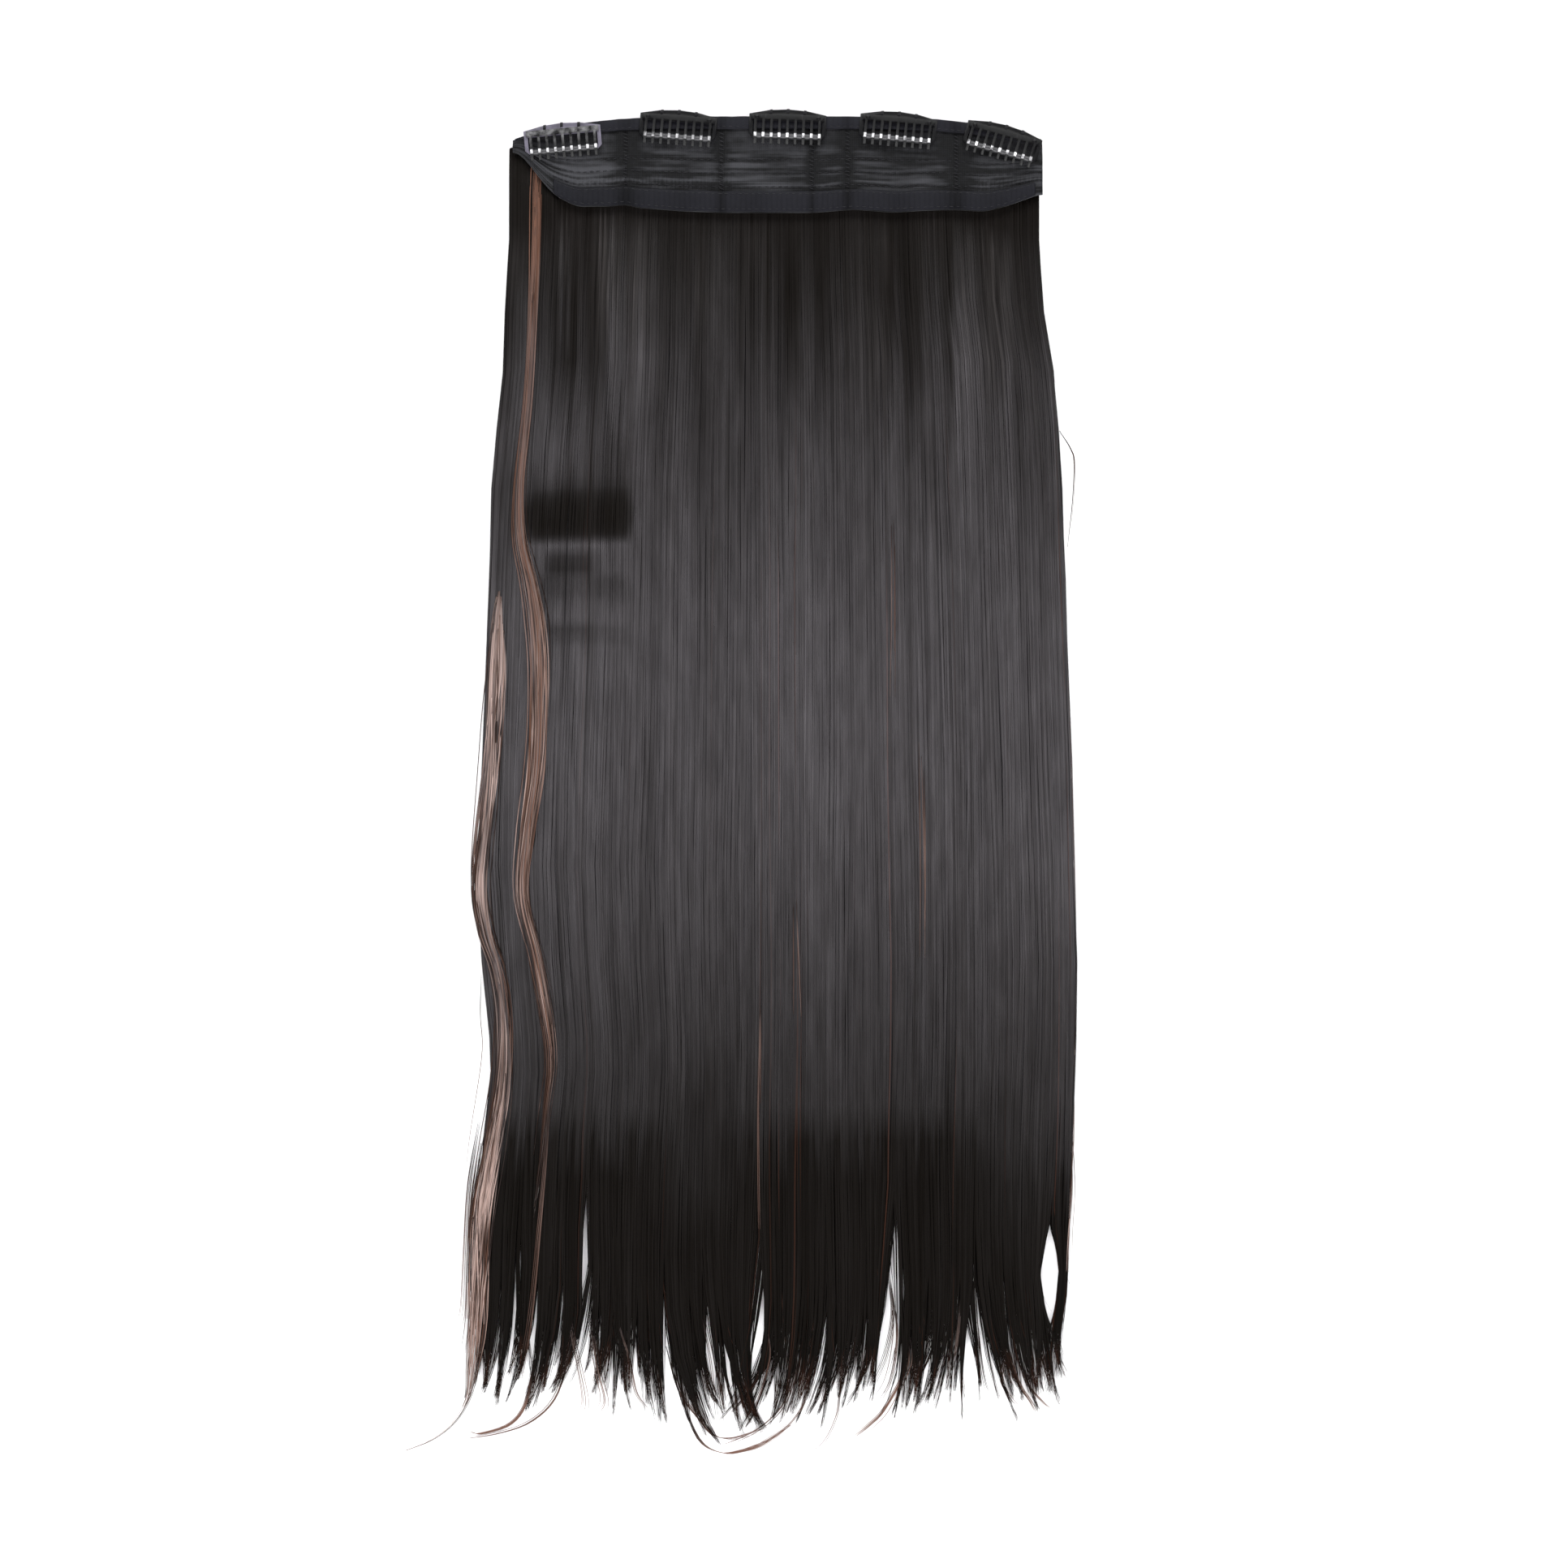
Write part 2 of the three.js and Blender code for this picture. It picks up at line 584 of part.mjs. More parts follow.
function clipComb(name) {
  const stripEnd = STRIP_DOWN + STRIP_WIDTH;
  const strip = [
    { down: STRIP_DOWN, height: STRIP_LOW },
    { down: stripEnd, height: STRIP_LOW },
    { down: stripEnd, height: STRIP_LOW + COMB_STEEL },
    { down: STRIP_DOWN, height: STRIP_LOW + COMB_STEEL },
  ];
  // A tooth climbs to the sleeve, runs over it and bends down behind it
  const over = CLIP_STEEL / 2 + SLEEVE_RADIUS + GAP;
  const under = [
    { down: stripEnd - COMB_STEEL, height: STRIP_LOW },
    { down: BAR_DOWN - SLEEVE_RADIUS, height: over },
    { down: BAR_DOWN + SLEEVE_RADIUS, height: over },
    { down: BAR_DOWN + TOOTH_REACH, height: STRIP_LOW - COMB_STEEL },
  ];
  const upper = under.map(({ down, height }) => ({ down, height: height + COMB_STEEL }));
  const tooth = [...under, ...upper.reverse()];
  const combLength = CLIP_LENGTH - 2 * STRIP_INSET;
  const toothSpan = CLIP_LENGTH - 2 * (ARM_WIDTH + GAP) - TOOTH_WIDTH - 2 * GAP;
  const teeth = Array.from({ length: TOOTH_COUNT }, (_, i) =>
    alongClip(tooth, TOOTH_WIDTH).translate((i / (TOOTH_COUNT - 1) - 0.5) * toothSpan, 0, 0),
  );
  const rivets = [-1, 1].map((side) => {
    const profile = [
      new THREE.Vector2(0, -COMB_STEEL / 2),
      new THREE.Vector2(RIVET_RADIUS, -COMB_STEEL / 2),
      new THREE.Vector2(RIVET_RADIUS * 0.9, RIVET_HEIGHT / 2),
      new THREE.Vector2(0, RIVET_HEIGHT),
    ];
    const dome = new THREE.LatheGeometry(profile, 8).rotateX(Math.PI / 2);
    const x = side * (combLength / 2 - RIVET_INSET);
    return dome.translate(x, -(STRIP_DOWN + STRIP_WIDTH / 2), STRIP_LOW + COMB_STEEL);
  });
  return piece(name, fuse([alongClip(strip, combLength), ...teeth, ...rivets]), MATERIALS.comb);
}

function clip({ across, turn, proud }, index) {
  const group = new THREE.Group();
  group.name = `clip_${index + 1}`;
  const [x, edge] = bandPoint(across, 0, 0);
  group.position.set(x, edge + proud * CLIP_PROUD, PLATE_SEAT);
  group.rotation.z = THREE.MathUtils.degToRad(turn);
  group.add(
    clipFrame(`clip_frame_${index + 1}`),
    clipSleeve(`clip_sleeve_${index + 1}`),
    clipComb(`clip_comb_${index + 1}`),
  );
  return group;
}

// The band lies on the heads of the rows. The steepest line from the first row over the others, and
// over the whole pile at the hem, gives its slope.
function placeBand(band) {
  const seatAt = (down, rows) => pileTop(rows, 0, down) + GAP;
  const first = seatAt(SEWN_AT[0], 1);
  const seats = [...SEWN_AT.map((down, i) => ({ down, rows: i + 1 })).slice(1)];
  seats.push({ down: BAND_HEIGHT, rows: ROWS.length });
  const slopes = seats.map(({ down, rows }) => (seatAt(down, rows) - first) / (down - SEWN_AT[0]));
  const slope = Math.max(...slopes);
  band.rotation.x = -Math.atan(slope);
  band.position.z = first - slope * SEWN_AT[0];
}

const hair = new THREE.Group();
hair.add(...ROWS.map(hairRow), ...chestnutLocks());

const band = new THREE.Group();
band.add(...lacePanels(), ...ribbons(), ...CLIPS.map(clip));
placeBand(band);

// The origin is on the table, under the middle of the whole piece
const model = new THREE.Group();
model.add(hair, band);
const box = new THREE.Box3().setFromObject(model, true);
const middle = box.getCenter(new THREE.Vector3());
model.position.set(-middle.x, -middle.y, -box.min.z);

const extension = new THREE.Group();
extension.name = "clip_in_hair_extension";
extension.add(model);

export default extension;
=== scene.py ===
"""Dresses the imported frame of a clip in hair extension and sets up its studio."""

import logging
import math
from dataclasses import dataclass, field
from enum import Enum

import bmesh
import bpy
import numpy as np
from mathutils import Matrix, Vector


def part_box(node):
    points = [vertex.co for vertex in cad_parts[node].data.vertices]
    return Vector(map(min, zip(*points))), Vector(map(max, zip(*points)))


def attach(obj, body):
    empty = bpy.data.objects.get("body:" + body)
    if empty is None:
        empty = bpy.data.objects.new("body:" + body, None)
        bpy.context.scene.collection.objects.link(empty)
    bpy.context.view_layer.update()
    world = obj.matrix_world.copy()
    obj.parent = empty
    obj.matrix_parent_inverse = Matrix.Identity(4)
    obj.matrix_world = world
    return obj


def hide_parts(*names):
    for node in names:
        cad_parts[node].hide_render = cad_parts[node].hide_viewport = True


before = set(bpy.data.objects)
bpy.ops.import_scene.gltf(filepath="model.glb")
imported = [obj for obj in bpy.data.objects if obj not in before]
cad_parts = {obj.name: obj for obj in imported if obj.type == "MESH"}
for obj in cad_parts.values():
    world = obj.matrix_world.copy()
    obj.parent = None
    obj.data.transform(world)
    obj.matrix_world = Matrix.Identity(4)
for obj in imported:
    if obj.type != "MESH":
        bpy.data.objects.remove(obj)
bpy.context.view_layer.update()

LOG = logging.getLogger("hair_extension")

# Millimetres, as in the part's source, are turned into the frame's metres
MM = 0.001
# Place of the first sewn row below the top edge of the band
ROW_INSET = 3.0
# Root body of the frame
ROOT = "hairpiece"
# Smallest divisor in a normalised vector
TINY = 1e-9

# Red, green, blue and opacity
Colour = tuple[float, float, float, float]


def local_origin() -> np.ndarray:
    """Where the middle of the band's top edge lies in the frame.

    Returns:
        Its place in millimetres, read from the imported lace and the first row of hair.
    """
    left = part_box("lace_panel_1")[0].x
    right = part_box("lace_panel_6")[1].x
    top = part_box("hair_row_1")[1].y / MM + ROW_INSET
    return np.array([(left + right) / 2 / MM, top, 0.0])


ORIGIN = local_origin()


def to_frame(points: np.ndarray) -> np.ndarray:
    """Turns places in millimetres from the band's middle into the frame's metres.

    Args:
        points: Array whose last axis is x, y, z.

    Returns:
        The same places in the frame.
    """
    return (points + ORIGIN) * MM


def smooth_step(low: float, high: float, value: np.ndarray) -> np.ndarray:
    """Rises smoothly from 0 at low to 1 at high."""
    share = np.clip((value - low) / (high - low), 0.0, 1.0)
    return share * share * (3.0 - 2.0 * share)


def hill(middle: float, half: float, value: np.ndarray) -> np.ndarray:
    """A soft hill of height 1 round a middle, about half wide on each side."""
    return np.exp(-(((value - middle) / half) ** 2))


def span(rise: float, full: float, fade: float, end: float, value: np.ndarray) -> np.ndarray:
    """Rises smoothly from 0 at rise to 1 at full, and falls again from fade to 0 at end."""
    return smooth_step(rise, full, value) * (1 - smooth_step(fade, end, value))


def link(name: str, data: bpy.types.ID) -> bpy.types.Object:
    """Makes an object of a mesh, a lamp or a camera and links it to the scene."""
    thing = bpy.data.objects.new(name, data)
    bpy.context.scene.collection.objects.link(thing)
    return thing


def store(mesh: bpy.types.Mesh, name: str, values: np.ndarray) -> None:
    """Stores a number on every point of a mesh."""
    layer = mesh.attributes.new(name, "FLOAT", "POINT")
    layer.data.foreach_set("value", values.astype(np.float32))


class Drift:
    """Smooth seeded noise over a plane, from -1 to 1."""

    CELLS = 64

    def __init__(self, seed: int) -> None:
        """Draws the table of values."""
        self.table = np.random.default_rng(seed).uniform(-1.0, 1.0, (self.CELLS, self.CELLS))

    def at(self, x: np.ndarray, y: np.ndarray) -> np.ndarray:
        """Reads the noise.

        Args:
            x: First coordinate, one unit to a bump.
            y: Second coordinate, one unit to a bump.

        Returns:
            The noise at each place.
        """
        left, low = np.floor(x).astype(int), np.floor(y).astype(int)
        u, v = x - left, y - low
        u, v = u * u * (3 - 2 * u), v * v * (3 - 2 * v)
        n = self.CELLS
        corners = [self.table[(left + i) % n, (low + j) % n] for i in (0, 1) for j in (0, 1)]
        near = corners[0] * (1 - v) + corners[1] * v
        far = corners[2] * (1 - v) + corners[3] * v
        return near * (1 - u) + far * u


@dataclass
class Skin:
    """Vertices, quads and named values of a mesh, gathered part by part."""

    points: list[np.ndarray] = field(default_factory=list)
    faces: list[np.ndarray] = field(default_factory=list)
    sharp: list[np.ndarray] = field(default_factory=list)
    values: dict[str, list[np.ndarray]] = field(default_factory=dict)
    count: int = 0

    def add(self, points: np.ndarray, faces: list[np.ndarray], **values: np.ndarray) -> None:
        """Adds a part.

        Args:
            points: Places in millimetres, one row each.
            faces: Arrays of corner numbers within this part, one row a face.
            values: One number for each point, by name.
        """
        flat = points.reshape(-1, 3)
        self.points.append(flat)
        self.faces.extend(f + self.count for f in faces)
        for name, value in values.items():
            self.values.setdefault(name, []).append(np.broadcast_to(value, len(flat)).astype(float))
        self.count += len(flat)

    def mark_sharp(self, pairs: np.ndarray) -> None:
        """Notes edges of the last part that stay sharp, numbered over the whole mesh."""
        self.sharp.append(pairs)

    def make(self, name: str) -> bpy.types.Object:
        """Makes the mesh object.

        Args:
            name: Name of the piece.

        Returns:
            The object, linked to the scene.
        """
        points = to_frame(np.concatenate(self.points))
        mesh = bpy.data.meshes.new(name)
        mesh.vertices.add(len(points))
        mesh.vertices.foreach_set("co", points.astype(np.float32).ravel())
        loops = np.concatenate([f.ravel() for f in self.faces])
        sizes = np.concatenate([np.full(len(f), f.shape[1]) for f in self.faces])
        starts = np.concatenate([[0], np.cumsum(sizes)[:-1]])
        mesh.loops.add(len(loops))
        mesh.loops.foreach_set("vertex_index", loops.astype(np.int32))
        mesh.polygons.add(len(sizes))
        mesh.polygons.foreach_set("loop_start", starts.astype(np.int32))
        mesh.update(calc_edges=True)
        if self.sharp:
            self._sharpen(mesh)
        for key, parts in self.values.items():
            store(mesh, key, np.concatenate(parts))
        mesh.validate()
        return link(name, mesh)

    def _sharpen(self, mesh: bpy.types.Mesh) -> None:
        """Marks the noted edges as sharp."""
        wanted = np.sort(np.concatenate(self.sharp), axis=1)
        ends = np.zeros(len(mesh.edges) * 2, np.int32)
        mesh.edges.foreach_get("vertices", ends)
        ends = np.sort(ends.reshape(-1, 2), axis=1).astype(np.int64)
        keys = ends[:, 0] * self.count + ends[:, 1]
        marks = np.isin(keys, wanted[:, 0].astype(np.int64) * self.count + wanted[:, 1])
        layer = mesh.attributes.new("sharp_edge", "BOOLEAN", "EDGE")
        layer.data.foreach_set("value", marks)


def strip_faces(rows: int, columns: int, closed: bool) -> np.ndarray:
    """Quads of a grid of points, counted row by row.

    Args:
        rows: Number of rows.
        columns: Points in a row.
        closed: Whether the last column joins the first.

    Returns:
        One row of four corners a quad.
    """
    row = np.arange(rows - 1)[:, None] * columns
    last = columns if closed else columns - 1
    this = np.arange(last)[None, :]
    after = (this + 1) % columns
    quads = np.stack([row + this, row + after, row + columns + after, row + columns + this], -1)
    return quads.reshape(-1, 4)


def loft(skin: Skin, rings: np.ndarray, **values: np.ndarray) -> None:
    """Adds closed tubes, each through a row of rings, with a face over both ends.

    Args:
        skin: Mesh that takes them.
        rings: Places, as tubes by rings by corners by xyz.
        values: One number for each ring, as tubes by rings.
    """
    tubes, length, corners = rings.shape[:3]
    quads = strip_faces(length, corners, True)
    start = (np.arange(tubes) * length * corners)[:, None, None]
    sides = (quads[None] + start).reshape(-1, 4)
    head = (np.arange(corners)[::-1][None] + start[:, 0]).reshape(-1, corners)
    tail = (np.arange(corners)[None] + (length - 1) * corners + start[:, 0]).reshape(-1, corners)
    spread = {
        name: np.repeat(np.broadcast_to(value, (tubes, length)).ravel(), corners)
        for name, value in values.items()
    }
    skin.add(rings, [sides, head, tail], **spread)


@dataclass
class Strands:
    """Strands of hair: a path each, with its width, its turn about the path and its colours."""

    path: np.ndarray
    width: np.ndarray
    roll: np.ndarray
    tone: np.ndarray
    warm: np.ndarray
    gloss: np.ndarray

    FLATNESS = 0.45

    def skin(self, skin: Skin) -> None:
        """Adds the strands to a mesh as closed three-sided tubes, each with a flat top.

        Args:
            skin: Mesh that takes them.
        """
        along = np.gradient(self.path, axis=1)
        along /= np.linalg.norm(along, axis=2, keepdims=True) + TINY
        side = np.cross(along, np.array([0.0, 0.0, 1.0]))
        side /= np.linalg.norm(side, axis=2, keepdims=True) + TINY
        up = np.cross(side, along)
        turn = self.roll[..., None]
        across = side * np.cos(turn) + up * np.sin(turn)
        normal = up * np.cos(turn) - side * np.sin(turn)
        half = self.width[..., None] / 2
        rise = half * self.FLATNESS
        corners = [
            self.path - across * half + normal * rise,
            self.path - normal * rise,
            self.path + across * half + normal * rise,
        ]
        rings = np.stack(corners, axis=2)
        base = skin.count
        loft(skin, rings, tone=self.tone, warm=self.warm, gloss=self.gloss)
        tubes, length = rings.shape[:2]
        ring = np.arange(tubes * length).reshape(tubes, length)[:, :-1].ravel() * 3 + base
        for corner in (0, 2):
            skin.mark_sharp(np.stack([ring + corner, ring + corner + 3], axis=1))


# Lower edge of the band: across as a share of half the width, depth as a share of the full height
BASE_EDGE = np.array(
    [
        [-1, 0.1],
        [-0.953, 0.22],
        [-0.916, 0.4],
        [-0.843, 0.69],
        [-0.754, 0.86],
        [-0.613, 0.9],
        [-0.576, 0.88],
        [-0.53, 0.93],
        [-0.36, 0.98],
        [-0.208, 1],
        [0.138, 1],
        [0.288, 0.965],
        [0.435, 0.99],
        [0.674, 0.92],
        [0.778, 0.9],
        [0.867, 0.79],
        [0.93, 0.68],
        [1, 0.55],
    ]
)


@dataclass(frozen=True)
class BandPlane:
    """The sloping plane that the lace band and the clips lie in."""

    half: float = 124.0
    height: float = 46.0
    arch_drop: float = 11.4
    tilt: float = math.radians(8.896)
    seat: float = 0.796
    easing: float = 0.024
    hem_reach: float = 11.0
    under_gap: float = 0.3

    def depth(self, across: np.ndarray) -> np.ndarray:
        """Height of the band along it, as a share of its full height, with its corners eased."""
        taps = [np.interp(across + shift, *BASE_EDGE.T) for shift in (-self.easing, 0, self.easing)]
        return taps[0] * 0.3 + taps[1] * 0.4 + taps[2] * 0.3

    def place(self, x: np.ndarray, y: np.ndarray, height: np.ndarray) -> np.ndarray:
        """Takes places in the plane to places over the table.

        Args:
            x: Along the band.
            y: Towards the top edge.
            height: Off the lace's underside.

        Returns:
            Places as x, y, z.
        """
        x, y, height = np.broadcast_arrays(x, y, height)
        cos, sin = math.cos(self.tilt), math.sin(self.tilt)
        return np.stack([x, y * cos + height * sin, self.seat - y * sin + height * cos], axis=-1)

    def keep_under(self, z: np.ndarray, down: np.ndarray) -> np.ndarray:
        """Holds the start of strands under the band.

        Args:
            z: Their heights over the table.
            down: Their distances below the band's top edge.

        Returns:
            The heights, held under the lace as far as the hem.
        """
        ceiling = self.seat - self.under_gap + down * math.sin(self.tilt)
        return np.where(down < self.height - self.hem_reach, np.minimum(z, ceiling), z)

    def point(self, across: np.ndarray, down: np.ndarray, height: np.ndarray) -> np.ndarray:
        """A point of the band.

        Args:
            across: Place along the band, from -1 to 1.
            down: Distance from the top edge where the band is at its full height.
            height: Off the lace's underside.

        Returns:
            Places as x, y, z.
        """
        y = -(self.arch_drop * np.abs(across) ** 4 + down * self.depth(across))
        return self.place(self.half * across, y, height)


BAND = BandPlane()
# Hair as the frame has it: places along the fall from 0 at the hem to 1 at the roots of the locks,
# both edges as shares of half the band, and the thickness of a row as a share of its fullest
FALL = np.array(
    [
        [0.0, 1.01, 0.985, 0.6],
        [0.07, 1.025, 0.999, 0.92],
        [0.15, 1.032, 1.045, 1.0],
        [0.23, 1.062, 1.062, 1.0],
        [0.31, 1.081, 1.075, 0.99],
        [0.43, 1.091, 1.091, 0.96],
        [0.51, 1.107, 1.103, 0.93],
        [0.6, 1.12, 1.112, 0.9],
        [0.68, 1.132, 1.121, 0.86],
        [0.76, 1.1, 1.127, 0.81],
        [0.84, 1.07, 1.119, 0.75],
        [0.92, 1.1, 1.108, 0.68],
        [1.0, 1.12, 1.1, 0.6],
    ]
)


@dataclass(frozen=True)
class Fall:
    """The lie of the hair, in millimetres from the middle of the band's top edge."""

    arch_fade: float = 0.4
    lock_root: float = 515.0
    lock_length: float = 97.0
    row_thickness: float = 2.1
    gap: float = 0.3
    sewn_thick: float = 0.45
    tip_thick: float = 0.25
    edge_thick: float = 0.6
    edge_share: float = 0.88
    edge_fade: float = 0.51

    def along(self, down: np.ndarray) -> np.ndarray:
        """Place along the fall at a distance below the top edge."""
        return (down - BAND.height) / (self.lock_root - BAND.height)

    def x(self, across: np.ndarray, down: np.ndarray) -> np.ndarray:
        """Sideways place of a strand that lies straight."""
        place = self.along(down)
        left = np.interp(place, FALL[:, 0], FALL[:, 1])
        right = np.interp(place, FALL[:, 0], FALL[:, 2])
        return BAND.half * across * np.where(across < 0, left, right)

    def y(self, across: np.ndarray, down: np.ndarray) -> np.ndarray:
        """Place along the hair, with the arch of the band dying out downwards."""
        fade = np.clip(1 - self.along(down) / self.arch_fade, 0, 1)
        return -(down + BAND.arch_drop * np.abs(across) ** 4 * fade)

    def thickness(self, across: np.ndarray, down: np.ndarray) -> np.ndarray:
        """Thickness of one row."""
        place = self.along(down)
        middle = np.interp(place, FALL[:, 0], FALL[:, 3])
        sewn = self.sewn_thick + (FALL[0, 3] - self.sewn_thick) * down / BAND.height
        share = np.clip((down - self.lock_root) / self.lock_length, 0, 1)
        lock = FALL[-1, 3] + (self.tip_thick - FALL[-1, 3]) * share
        full = np.where(down < BAND.height, sewn, np.where(down > self.lock_root, lock, middle))
        fade = np.clip((place - self.edge_fade) / (1 - self.edge_fade), 0, 1)
        outward = np.clip((np.abs(across) - self.edge_share) / (1 - self.edge_share), 0, 1)
        edge = 1 + (self.edge_thick - 1) * outward
        return self.row_thickness * full * (edge + (1 - edge) * fade)

    def pile_top(self, rows: int, across: np.ndarray, down: np.ndarray) -> np.ndarray:
        """Height of the top of so many rows."""
        return rows * (self.thickness(across, down) + self.gap) - self.gap


FALL_LINE = Fall()

# Locks at the tips from left to right: where each starts and ends across the hair, where its tip lies,
# the share of its width that it keeps there, and how far it bends sideways at the end. Places across
# are shares of the hair's half width, the tips and bends millimetres.
LOCKS = np.array(
    [
        [-1.0, -0.925, -136.0, 592.0, 0.7, -3.0],
        [-0.925, -0.88, -130.7, 596.0, 0.7, -5.0],
        [-0.88, -0.81, -118.5, 593.0, 0.75, -4.0],
        [-0.81, -0.725, -107.6, 597.0, 0.85, -4.0],
        [-0.725, -0.64, -97.2, 592.0, 0.9, -7.0],
        [-0.64, -0.555, -83.1, 591.0, 0.9, -6.0],
        [-0.555, -0.465, -71.0, 598.0, 0.9, 0.0],
        [-0.465, -0.375, -58.2, 604.0, 0.9, 2.0],
        [-0.375, -0.3, -41.8, 611.0, 0.95, 8.0],
        [-0.3, -0.215, -31.6, 601.0, 0.8, 6.0],
        [-0.215, -0.06, -15.2, 612.0, 0.4, 8.0],
        [-0.06, 0.05, -9.9, 604.0, 0.8, -12.0],
        [0.05, 0.16, 9.4, 605.0, 1.0, -8.0],
        [0.16, 0.255, 25.4, 601.0, 1.0, -8.0],
        [0.255, 0.365, 38.5, 595.0, 0.7, -8.0],
        [0.365, 0.4, 47.0, 597.0, 0.5, -8.0],
        [0.4, 0.505, 59.6, 603.0, 0.75, -8.0],
        [0.505, 0.595, 71.2, 596.0, 0.7, -10.0],
        [0.595, 0.62, 79.7, 594.0, 0.6, -4.0],
        [0.62, 0.67, 87.4, 597.0, 0.7, 0.0],
        [0.67, 0.77, 104.8, 597.0, 0.6, 5.0],
        [0.77, 0.845, 115.9, 595.0, 0.8, 3.0],
        [0.845, 0.915, 125.2, 593.0, 0.6, 2.0],
        [0.915, 1.0, 127.0, 588.0, 0.4, 0.0],
    ]
)

# Slits where the locks part, some of them open to the tips: middle, first and last distance down, and
# half width
SLITS = np.array(
    [
        [-90.0, 508.0, 556.0, 1.9],
        [-120.0, 528.0, 550.0, 0.8],
        [-102.6, 545.0, 556.0, 0.6],
        [-83.2, 552.0, 580.0, 1.0],
        [-97.0, 552.0, 600.0, 0.8],
        [-31.2, 534.0, 622.0, 2.4],
        [-9.0, 526.0, 618.0, 2.8],
        [51.0, 502.0, 655.0, 4.4],
        [58.9, 530.0, 555.0, 0.8],
        [90.4, 545.0, 660.0, 4.0],
        [127.2, 516.0, 566.0, 5.0],
    ]
)


# Kinks from packing, on the way down: where each starts, is full, starts to fade and ends, and its height
KINKS = (
    (175.0, 197.0, 197.0, 226.0, 2.3),
    (204.0, 216.0, 217.0, 240.0, 0.75),
    (238.0, 245.0, 246.0, 258.0, 0.3),
)
# Number of the row that lies on top
TOP_ROW = 3


@dataclass
class HairRow:
    """One sewn row of long dark hair."""

    row: int
    strands: int
    start: float
    seed: int
    width: float = 0.58
    lock_start: float = 462.0
    lean_power: float = 1.6
    gather_power: float = 3.5
    wisp_width: float = 0.036
    shine: float = 0.58
    ragged: float = 9.0
    short_share: float = 0.1
    short_by: float = 45.0
    tip_past: float = 5.0
    tip_drift: float = 12.0
    bend_gain: float = 1.5
    wisp_gather: float = 0.9
    wisp_sway: float = 7.0
    slit_reach: float = 4.5
    kink_left: float = -116.0
    kink_right: float = -69.0
    kink_soft: float = 4.0
    shine_end: float = 476.0
    fine_from: float = 150.0
    fine_to: float = 262.0

    @property
    def name(self) -> str:
        """Name of the row's node in the frame."""
        return f"hair_row_{self.row + 1}"

    def build(self) -> bpy.types.Object:
        """Makes the row.

        Returns:
            One mesh of all its strands.
        """
        rng = np.random.default_rng(self.seed)
        across = np.linspace(-1, 1, self.strands) + rng.uniform(-1, 1, self.strands) / self.strands
        across = np.sort(np.clip(across, -1, 1))
        skin = Skin()
        x = FALL_LINE.x(across, np.full_like(across, self.fine_from))
        kinked = (x > self.kink_left - 3) & (x < self.kink_right + 3) & (self.row == TOP_ROW)
        fine = np.arange(self.fine_from, self.fine_to, 5.6)
        coarse = np.array([170.0, 215.0])
        for group, middle in ((across[kinked], fine), (across[~kinked], coarse)):
            if len(group):
                self._strands(group, middle, rng).skin(skin)
        return skin.make(f"{self.name}_strands")

    def _strands(self, across: np.ndarray, middle: np.ndarray, rng: np.random.Generator) -> Strands:
        """Lays out a group of strands.

        Args:
            across: Places across the hair, one a strand.
            middle: Distances down at which the middle of the hair gets a ring.
            rng: Source of random numbers.

        Returns:
            The strands.
        """
        upper = [40.0, 46, 58, 82, 112, 140, *middle, 305, 350, 395, 430, 446, self.lock_start]
        upper = np.array(upper)
        lower = np.array([0.12, 0.26, 0.44, 0.6, 0.74, 0.86, 0.95, 1.0])
        count = len(across)
        lock = np.clip(np.searchsorted(LOCKS[:, 1], across), 0, len(LOCKS) - 1)
        first, last, tip_x, tip_down, kept, bend = LOCKS[lock].T
        share = (across - first) / (last - first)

        # Wisps within each lock, with tips and bends of their own
        parts = np.maximum(1, np.round((last - first) / self.wisp_width))
        part = np.minimum(np.floor((share + 0.31 * self.row / parts) * parts), parts - 1)
        part_middle = np.clip((part + 0.5) / parts, 0, 1)
        drift = Drift(self.seed + 5)
        key = lock * 7.7 + part * 1.31 + self.row * 3.37
        outer = np.abs(part_middle - 0.5) * 2
        end = tip_down + self.tip_past - self.ragged * outer**1.5
        end = end + self.tip_drift * drift.at(key, key * 0.7)
        end = end - (TOP_ROW - self.row) - np.abs(rng.normal(0, 2.5, count))
        end = end - np.where(rng.random(count) < self.short_share, rng.uniform(0, self.short_by, count), 0)

        tail = self.lock_start + (end - self.lock_start)[:, None] * lower[None]
        bare = BAND.height * BAND.depth(across) - 2.5
        start = np.clip(np.minimum(self.start, bare) + rng.uniform(-1.5, 1.5, count), 3.1, None)
        head = start[:, None] + (upper[0] - start)[:, None] * np.array([0.0, 0.4, 0.75])
        down = np.concatenate([head, np.broadcast_to(upper, (count, len(upper))), tail], axis=1)
        spread = np.broadcast_to(across[:, None], down.shape)
        x = FALL_LINE.x(spread, down)
        step = np.clip((down - self.lock_start) / (tip_down[:, None] - self.lock_start), 0, 1.1)

        # Each lock leans to its tip and gathers a little, and its wisps gather at their ends
        root = [FALL_LINE.x(side, np.full(count, self.lock_start + 30)) for side in (first, last)]
        middle_x = (root[0] + root[1]) / 2
        width = (root[1] - root[0])[:, None]
        sway = self.bend_gain * bend[:, None] * (1 + 0.5 * drift.at(key * 1.9 + 11, key)[:, None])
        lean = (tip_x - bend - middle_x)[:, None]
        x = x + lean * step**self.lean_power + sway * step**5
        x = x + (share - 0.5)[:, None] * width * (kept[:, None] - 1) * step**self.gather_power
        own_step = np.clip((down - self.lock_start) / (end - self.lock_start)[:, None], 0, 1)
        x = x - (share - part_middle)[:, None] * width * self.wisp_gather * own_step**7
        x = x + self.wisp_sway * drift.at(key * 2.3 + 31, key * 1.1)[:, None] * own_step**5

